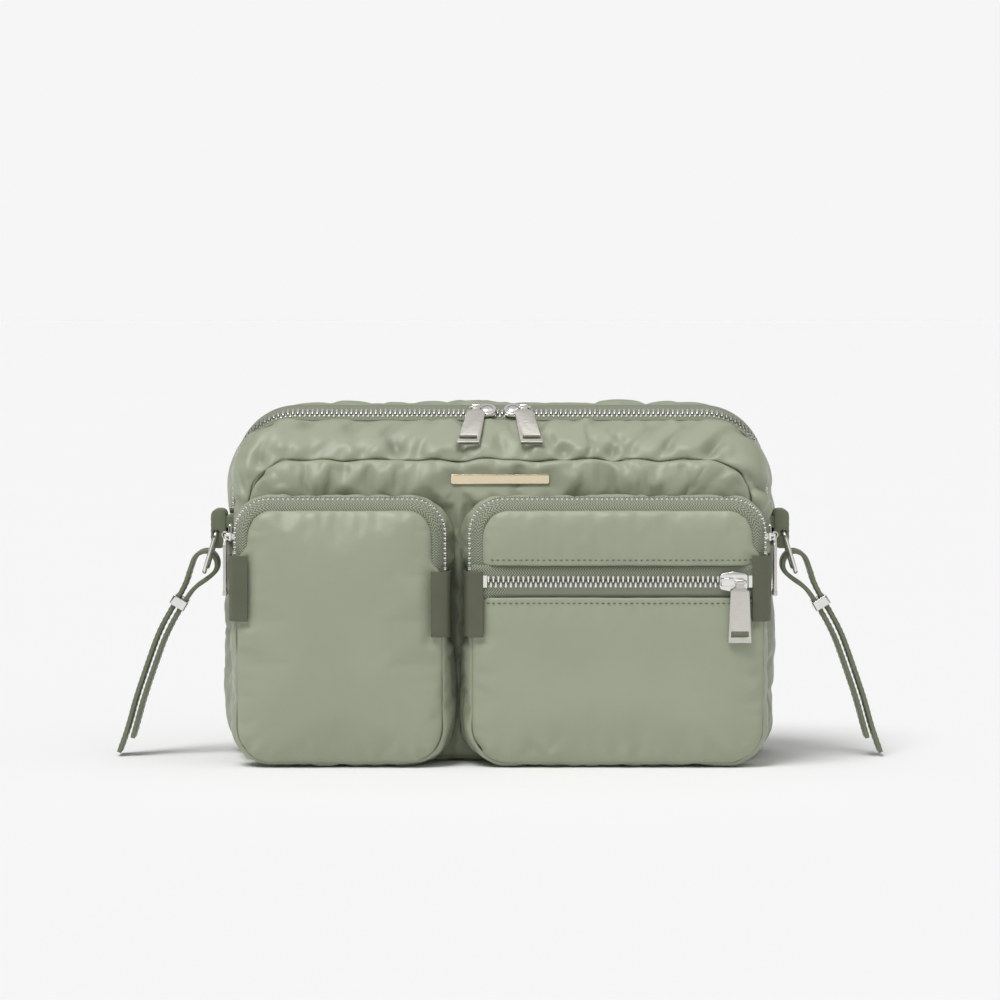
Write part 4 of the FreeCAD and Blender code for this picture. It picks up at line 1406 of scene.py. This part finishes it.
def moved(form, origin, x_dir, z_dir, finish, body):
    """A metal piece made from a form, on a body that is one CAD node of the same name."""
    bmesh.ops.transform(form, matrix=placement(origin, x_dir, z_dir), verts=form.verts)
    dress(piece_from(f"{body}_metal", form), finish, body, (body,))


def bail_bar(gap):
    return TOOTH_DEPTH / 2 + gap + PLATE + BAIL_HEIGHT


def make_sliders():
    up_slope = np.array([0, math.cos(ZIP_TILT), math.sin(ZIP_TILT)])
    off_tape = np.array([0, -math.sin(ZIP_TILT), math.cos(ZIP_TILT)])
    for side, sign in SIDES:
        at = np.array([sign * MAIN_SLIDER_X, ZIP_Y, ZIP.z1])
        outward = np.array([sign, 0, 0])
        form = slider_form(SLIDER_LENGTH, SLIDER_GAP, BAIL_SHIFT, False, True)
        moved(form, at, outward, off_tape, CHROME, f"main_slider_{side}")
        hinge = at + outward * BAIL_SHIFT + off_tape * bail_bar(SLIDER_GAP)
        moved(pull_form(4.0 * sign), hinge, (1, 0, 0), up_slope, SATIN, f"main_pull_{side}")
    for pocket, sign in ((LEFT, -1), (RIGHT, 1)):
        o = pocket.outline
        edge = o.x0 if sign < 0 else o.x1
        at = np.array([edge - sign * CHAIN_DEPTH, POCKET_ZIP_Y, o.z1 - o.r_top])
        form = slider_form(ARC_SLIDER_LENGTH, ARC_SLIDER_GAP, ARC_BAIL_SHIFT, True, False)
        moved(form, at, (0, 0, 1), (sign, 0, 0), CHROME, f"{pocket.side}_pocket_slider")
        hinge = at + np.array([sign * bail_bar(ARC_SLIDER_GAP), 0, ARC_BAIL_SHIFT])
        moved(pull_form(0.0), hinge, (0, 1, 0), (0, 0, 1), SATIN, f"{pocket.side}_pocket_pull")
    at = np.array([FRONT_ZIP_SLIDER_X, FRONT_ZIP_Y, FRONT_ZIP_Z])
    form = slider_form(SLIDER_LENGTH, SLIDER_GAP, BAIL_SHIFT, False, False)
    moved(form, at, (1, 0, 0), (0, -1, 0), CHROME, "front_zip_slider")
    hinge = at + np.array([BAIL_SHIFT, -bail_bar(SLIDER_GAP), 0])
    moved(pull_form(0.0), hinge, (1, 0, 0), (0, 0, 1), SATIN, "front_zip_pull")


# ---- side tabs, rings and strap ends -----------------------------------------------------
TAB_BAR = (145.6, 115.5)        # x, z of the bar inside the right loop tab
RING_WIRE = 1.1                 # radius
RING_LENGTH = 21.0
RING_WIDTH = 22.0
RING_TILT = math.radians(17.0)
STRAP_WIDTH = 16.0
STRAP_THICKNESS = 2.2
STRAP_FLOOR = 0.65              # lowest that a strap end comes
STITCH_INSET = 1.8              # from leather's edge
LEATHER_THREAD = 0.24           # radius
# x, z along the right strap end, from its outer tip up round the ring and back to its inner tip
STRAP_ROUTE = [(196.2, 2.2), (191.6, 15.0), (187.8, 29.5), (181.3, 48.5), (175.6, 64.5),
               (168.4, 77.3), (161.9, 88.2), (159.4, 96.5), (156.6, 104.2), (150.2, 106.4),
               (145.6, 102.2), (145.4, 96.0), (150.6, 91.4), (156.6, 87.6), (161.4, 81.6),
               (171.8, 63.6), (177.4, 48.0), (183.4, 30.6), (187.0, 17.6), (189.2, 9.6)]
KEEPER_AT = (165.0, 79.3)
KEEPER_ALONG = (0.515, -0.857)
KEEPER_LENGTH = 5.0
KEEPER_HEIGHT = 6.8
KEEPER_METAL = 0.9


def smoothed(points, rounds=3):
    """A route with its corners cut again and again until it is a smooth curve."""
    points = [np.array(p, float) for p in points]
    for _ in range(rounds):
        cut = [points[0]]
        for a, b in zip(points, points[1:]):
            cut += [0.75 * a + 0.25 * b, 0.25 * a + 0.75 * b]
        points = cut + [points[-1]]
    return points


def make_strap_end(side, sign):
    route = smoothed([(sign * x, ZIP_Y, z) for x, z in STRAP_ROUTE])
    form = swept(route, flat_section(STRAP_WIDTH, STRAP_THICKNESS, 0.6), (0, 1, 0))
    for v in form.verts:
        v.co.z = max(v.co.z, STRAP_FLOOR)
    body = f"strap_end_{side}"
    dress(piece_from(f"{body}_leather", form, 50), SAGE_LEATHER, body, (body,))
    for layer, part in (("outer", route[4:60]), ("inner", route[-44:-4])):
        part = np.array(part)
        normals = np.cross(np.gradient(part, axis=0), (0, 1, 0))
        normals /= np.linalg.norm(normals, axis=1)[:, None]
        for edge, edge_label in ((-1, "a"), (1, "b")):
            for face, face_label in ((-1, "c"), (1, "d")):
                line = (part + (0, edge * (STRAP_WIDTH / 2 - STITCH_INSET), 0)
                        + normals * face * STRAP_THICKNESS / 2)
                stitch_along(f"{body}_{layer}_stitches_{edge_label}{face_label}", line,
                             normals[len(normals) // 2] * face, 3.0, 2.0, SAGE_LEATHER, body,
                             LEATHER_THREAD, -0.02)


def make_ring(side, sign):
    half, bend, steps = RING_WIDTH / 2, 3.0, 8
    corners = rounded(rectangle(-half, 0, half, -RING_LENGTH), bend, steps)
    down = np.array([sign * math.sin(RING_TILT), 0, -math.cos(RING_TILT)])
    top = np.array([sign * TAB_BAR[0], ZIP_Y, TAB_BAR[1]])
    path = [top + np.array([0, a, 0]) - down * b for a, b in corners]
    form = swept(path, round_section(RING_WIRE), np.cross(down, (0, 1, 0)), closed=True)
    dress(piece_from(f"ring_{side}_metal", form), CHROME, f"ring_{side}", (f"ring_{side}",))


def make_keeper(side, sign):
    h, w = KEEPER_HEIGHT / 2, STRAP_WIDTH / 2 + 0.5
    outer = rectangle(-h - KEEPER_METAL, -w - KEEPER_METAL, h + KEEPER_METAL, w + KEEPER_METAL)
    form = plate(rounded(outer, 1.2), KEEPER_LENGTH, 0.3, (rounded(rectangle(-h, -w, h, w), 0.5),))
    along = np.array([sign * -KEEPER_ALONG[0], 0, -KEEPER_ALONG[1]])
    at = (sign * KEEPER_AT[0], ZIP_Y, KEEPER_AT[1])
    moved(form, at, np.cross((0, 1, 0), along), along, CHROME, f"strap_keeper_{side}")


TAB_WIDTH = 18.0
TAB_MIDDLE = (144.4, 117.5)     # x, z of the right loop tab's folded end
TAB_HALF = 3.9                  # half of its thickness
TAB_LENGTH = 20.0
TAB_BORE = 1.5                  # radius of the hole for the ring


def circle(x, z, radius, steps=20):
    angles = np.linspace(0, 2 * math.pi, steps + 1)[:-1]
    return [np.array((x + radius * math.cos(a), z + radius * math.sin(a))) for a in angles]


def make_loop_tab(side, sign):
    """Leather folded over itself and sewn to the purse's side, with the ring's bar through it."""
    x, z = TAB_MIDDLE
    low, high = z - TAB_LENGTH / 2, z + TAB_LENGTH / 2
    capsule = rounded(rectangle(x - TAB_HALF, low, x + TAB_HALF, high), TAB_HALF - 0.2, 8)
    root = rounded(rectangle(ZIP.x1 - 1.5, z + 0.5, x - 1.5, z + 6.5), 0.6)
    form = plate(capsule, TAB_WIDTH, 0.6, (circle(*TAB_BAR, TAB_BORE),))
    merge(form, plate(root, TAB_WIDTH - 1.0, 0.4))
    matrix = placement((0, ZIP_Y, 0), (sign, 0, 0), (0, -sign, 0))
    bmesh.ops.transform(form, matrix=matrix, verts=form.verts)
    node = f"loop_tab_{side}"
    dress(piece_from(f"{node}_leather", form, 50), SAGE_LEATHER, nodes=(node,))
    for edge, label in ((-1, "a"), (1, "b")):
        line = [(sign * (x + TAB_HALF), ZIP_Y + edge * (TAB_WIDTH / 2 - STITCH_INSET), at)
                for at in np.linspace(low + 4.5, high - 4.5, 8)]
        stitch_along(f"{node}_stitches_{label}", line, (sign, 0, 0), 3.0, 2.0,
                     SAGE_LEATHER, radius=LEATHER_THREAD, lift=0.0)


def make_zip_tabs(pocket):
    """Olive leather over the two ends of a pocket's zip, wrapped onto the face's rim."""
    o = pocket.outline
    height, lift = 33.0, 1.3    # lift is how far the leather stands off the pocket's outline
    for (end, sign), x, zip_end in zip(SIDES, o[:2], pocket.zip_ends):
        top = zip_end + 2.0
        wrap = smoothed([(x + sign * lift, GUSSET_EDGE_Y + 3.0), (x + sign * lift, -38.0),
                         (x + sign * lift, -45.8), (x - sign * 1.6, FACE_SEAM_Y - 2.4),
                         (x - sign * 7.6, FACE_SEAM_Y - 2.6)], 2)
        points = np.array([[(*p, z) for p in wrap] for z in np.linspace(top - height, top, 12)])
        name = f"{pocket.side}_pocket_tab_{end}"
        piece = add_grid(name, points, flip=sign < 0)
        thicken(piece, 1.1)
        bevel = piece.modifiers.new("Edge", "BEVEL")
        bevel.width = 0.3 * MM
        bevel.segments = 2
        dress(piece, OLIVE, nodes=(f"{pocket.side}_pocket_zip_tabs",))
        for label, line in (("side", points[1:-1, -3]), ("top", points[-2, 2:-2]),
                            ("bottom", points[1, 2:-2])):
            stitch_along(f"{name}_stitches_{label}", line, (sign * 0.5, -0.9, 0), 2.8, 1.9, OLIVE)


def make_binding(name, o, y):
    """The bound seam that closes the joint between a panel and the band round it."""
    edge = inset(o, 0.3)
    path = [(x, y, z) for (x, z), _ in (on_outline(edge, *place) for place in stations(o, 2.5))]
    form = swept(path, round_section(1.0, 8), (0, 1, 0), closed=True)
    dress(piece_from(name, form, 80), NYLON)


def make_name_bar():
    width, height, thickness = bar_x1 - bar_x0, bar_z1 - bar_z0, bar_y1 - bar_y0
    corners = rectangle(-width / 2, -height / 2, width / 2, height / 2)
    form = plate(rounded(corners, 1.2), thickness, 0.3)
    middle = ((bar_x0 + bar_x1) / 2, (bar_y0 + bar_y1) / 2, BAR_Z)
    bmesh.ops.transform(form, matrix=placement(middle, (1, 0, 0), (0, -1, 0)), verts=form.verts)
    dress(piece_from("name_bar_metal", form), GOLD, nodes=("name_bar",))


make_arch_zips()
make_front_zip()
make_sliders()
for side, sign in SIDES:
    make_loop_tab(side, sign)
    make_ring(side, sign)
    make_strap_end(side, sign)
    make_keeper(side, sign)
for pocket in (LEFT, RIGHT):
    make_zip_tabs(pocket)
make_name_bar()
make_binding("front_binding", FRONT, front_y + SEAM_DEPTH + 2.1)
make_binding("back_binding", BACK, back_y - SEAM_DEPTH - 2.1)


# ---- CAD nodes that stay -----------------------------------------------------------------
LINING = lining_material("lining_weave", (0.11, 0.12, 0.08), (0.15, 0.16, 0.11))
BOARD = lining_material("stiffener_board", (0.045, 0.048, 0.042), (0.07, 0.073, 0.065))
KEPT = {"front_lining": LINING, "back_lining": LINING, "base_stiffener": BOARD}
for zip_name in ("main_zip", "left_pocket_zip", "right_pocket_zip", "front_zip"):
    KEPT[f"{zip_name}_stops"] = TEETH.material
for node, material in KEPT.items():
    for material_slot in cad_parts[node].material_slots:
        material_slot.material = material
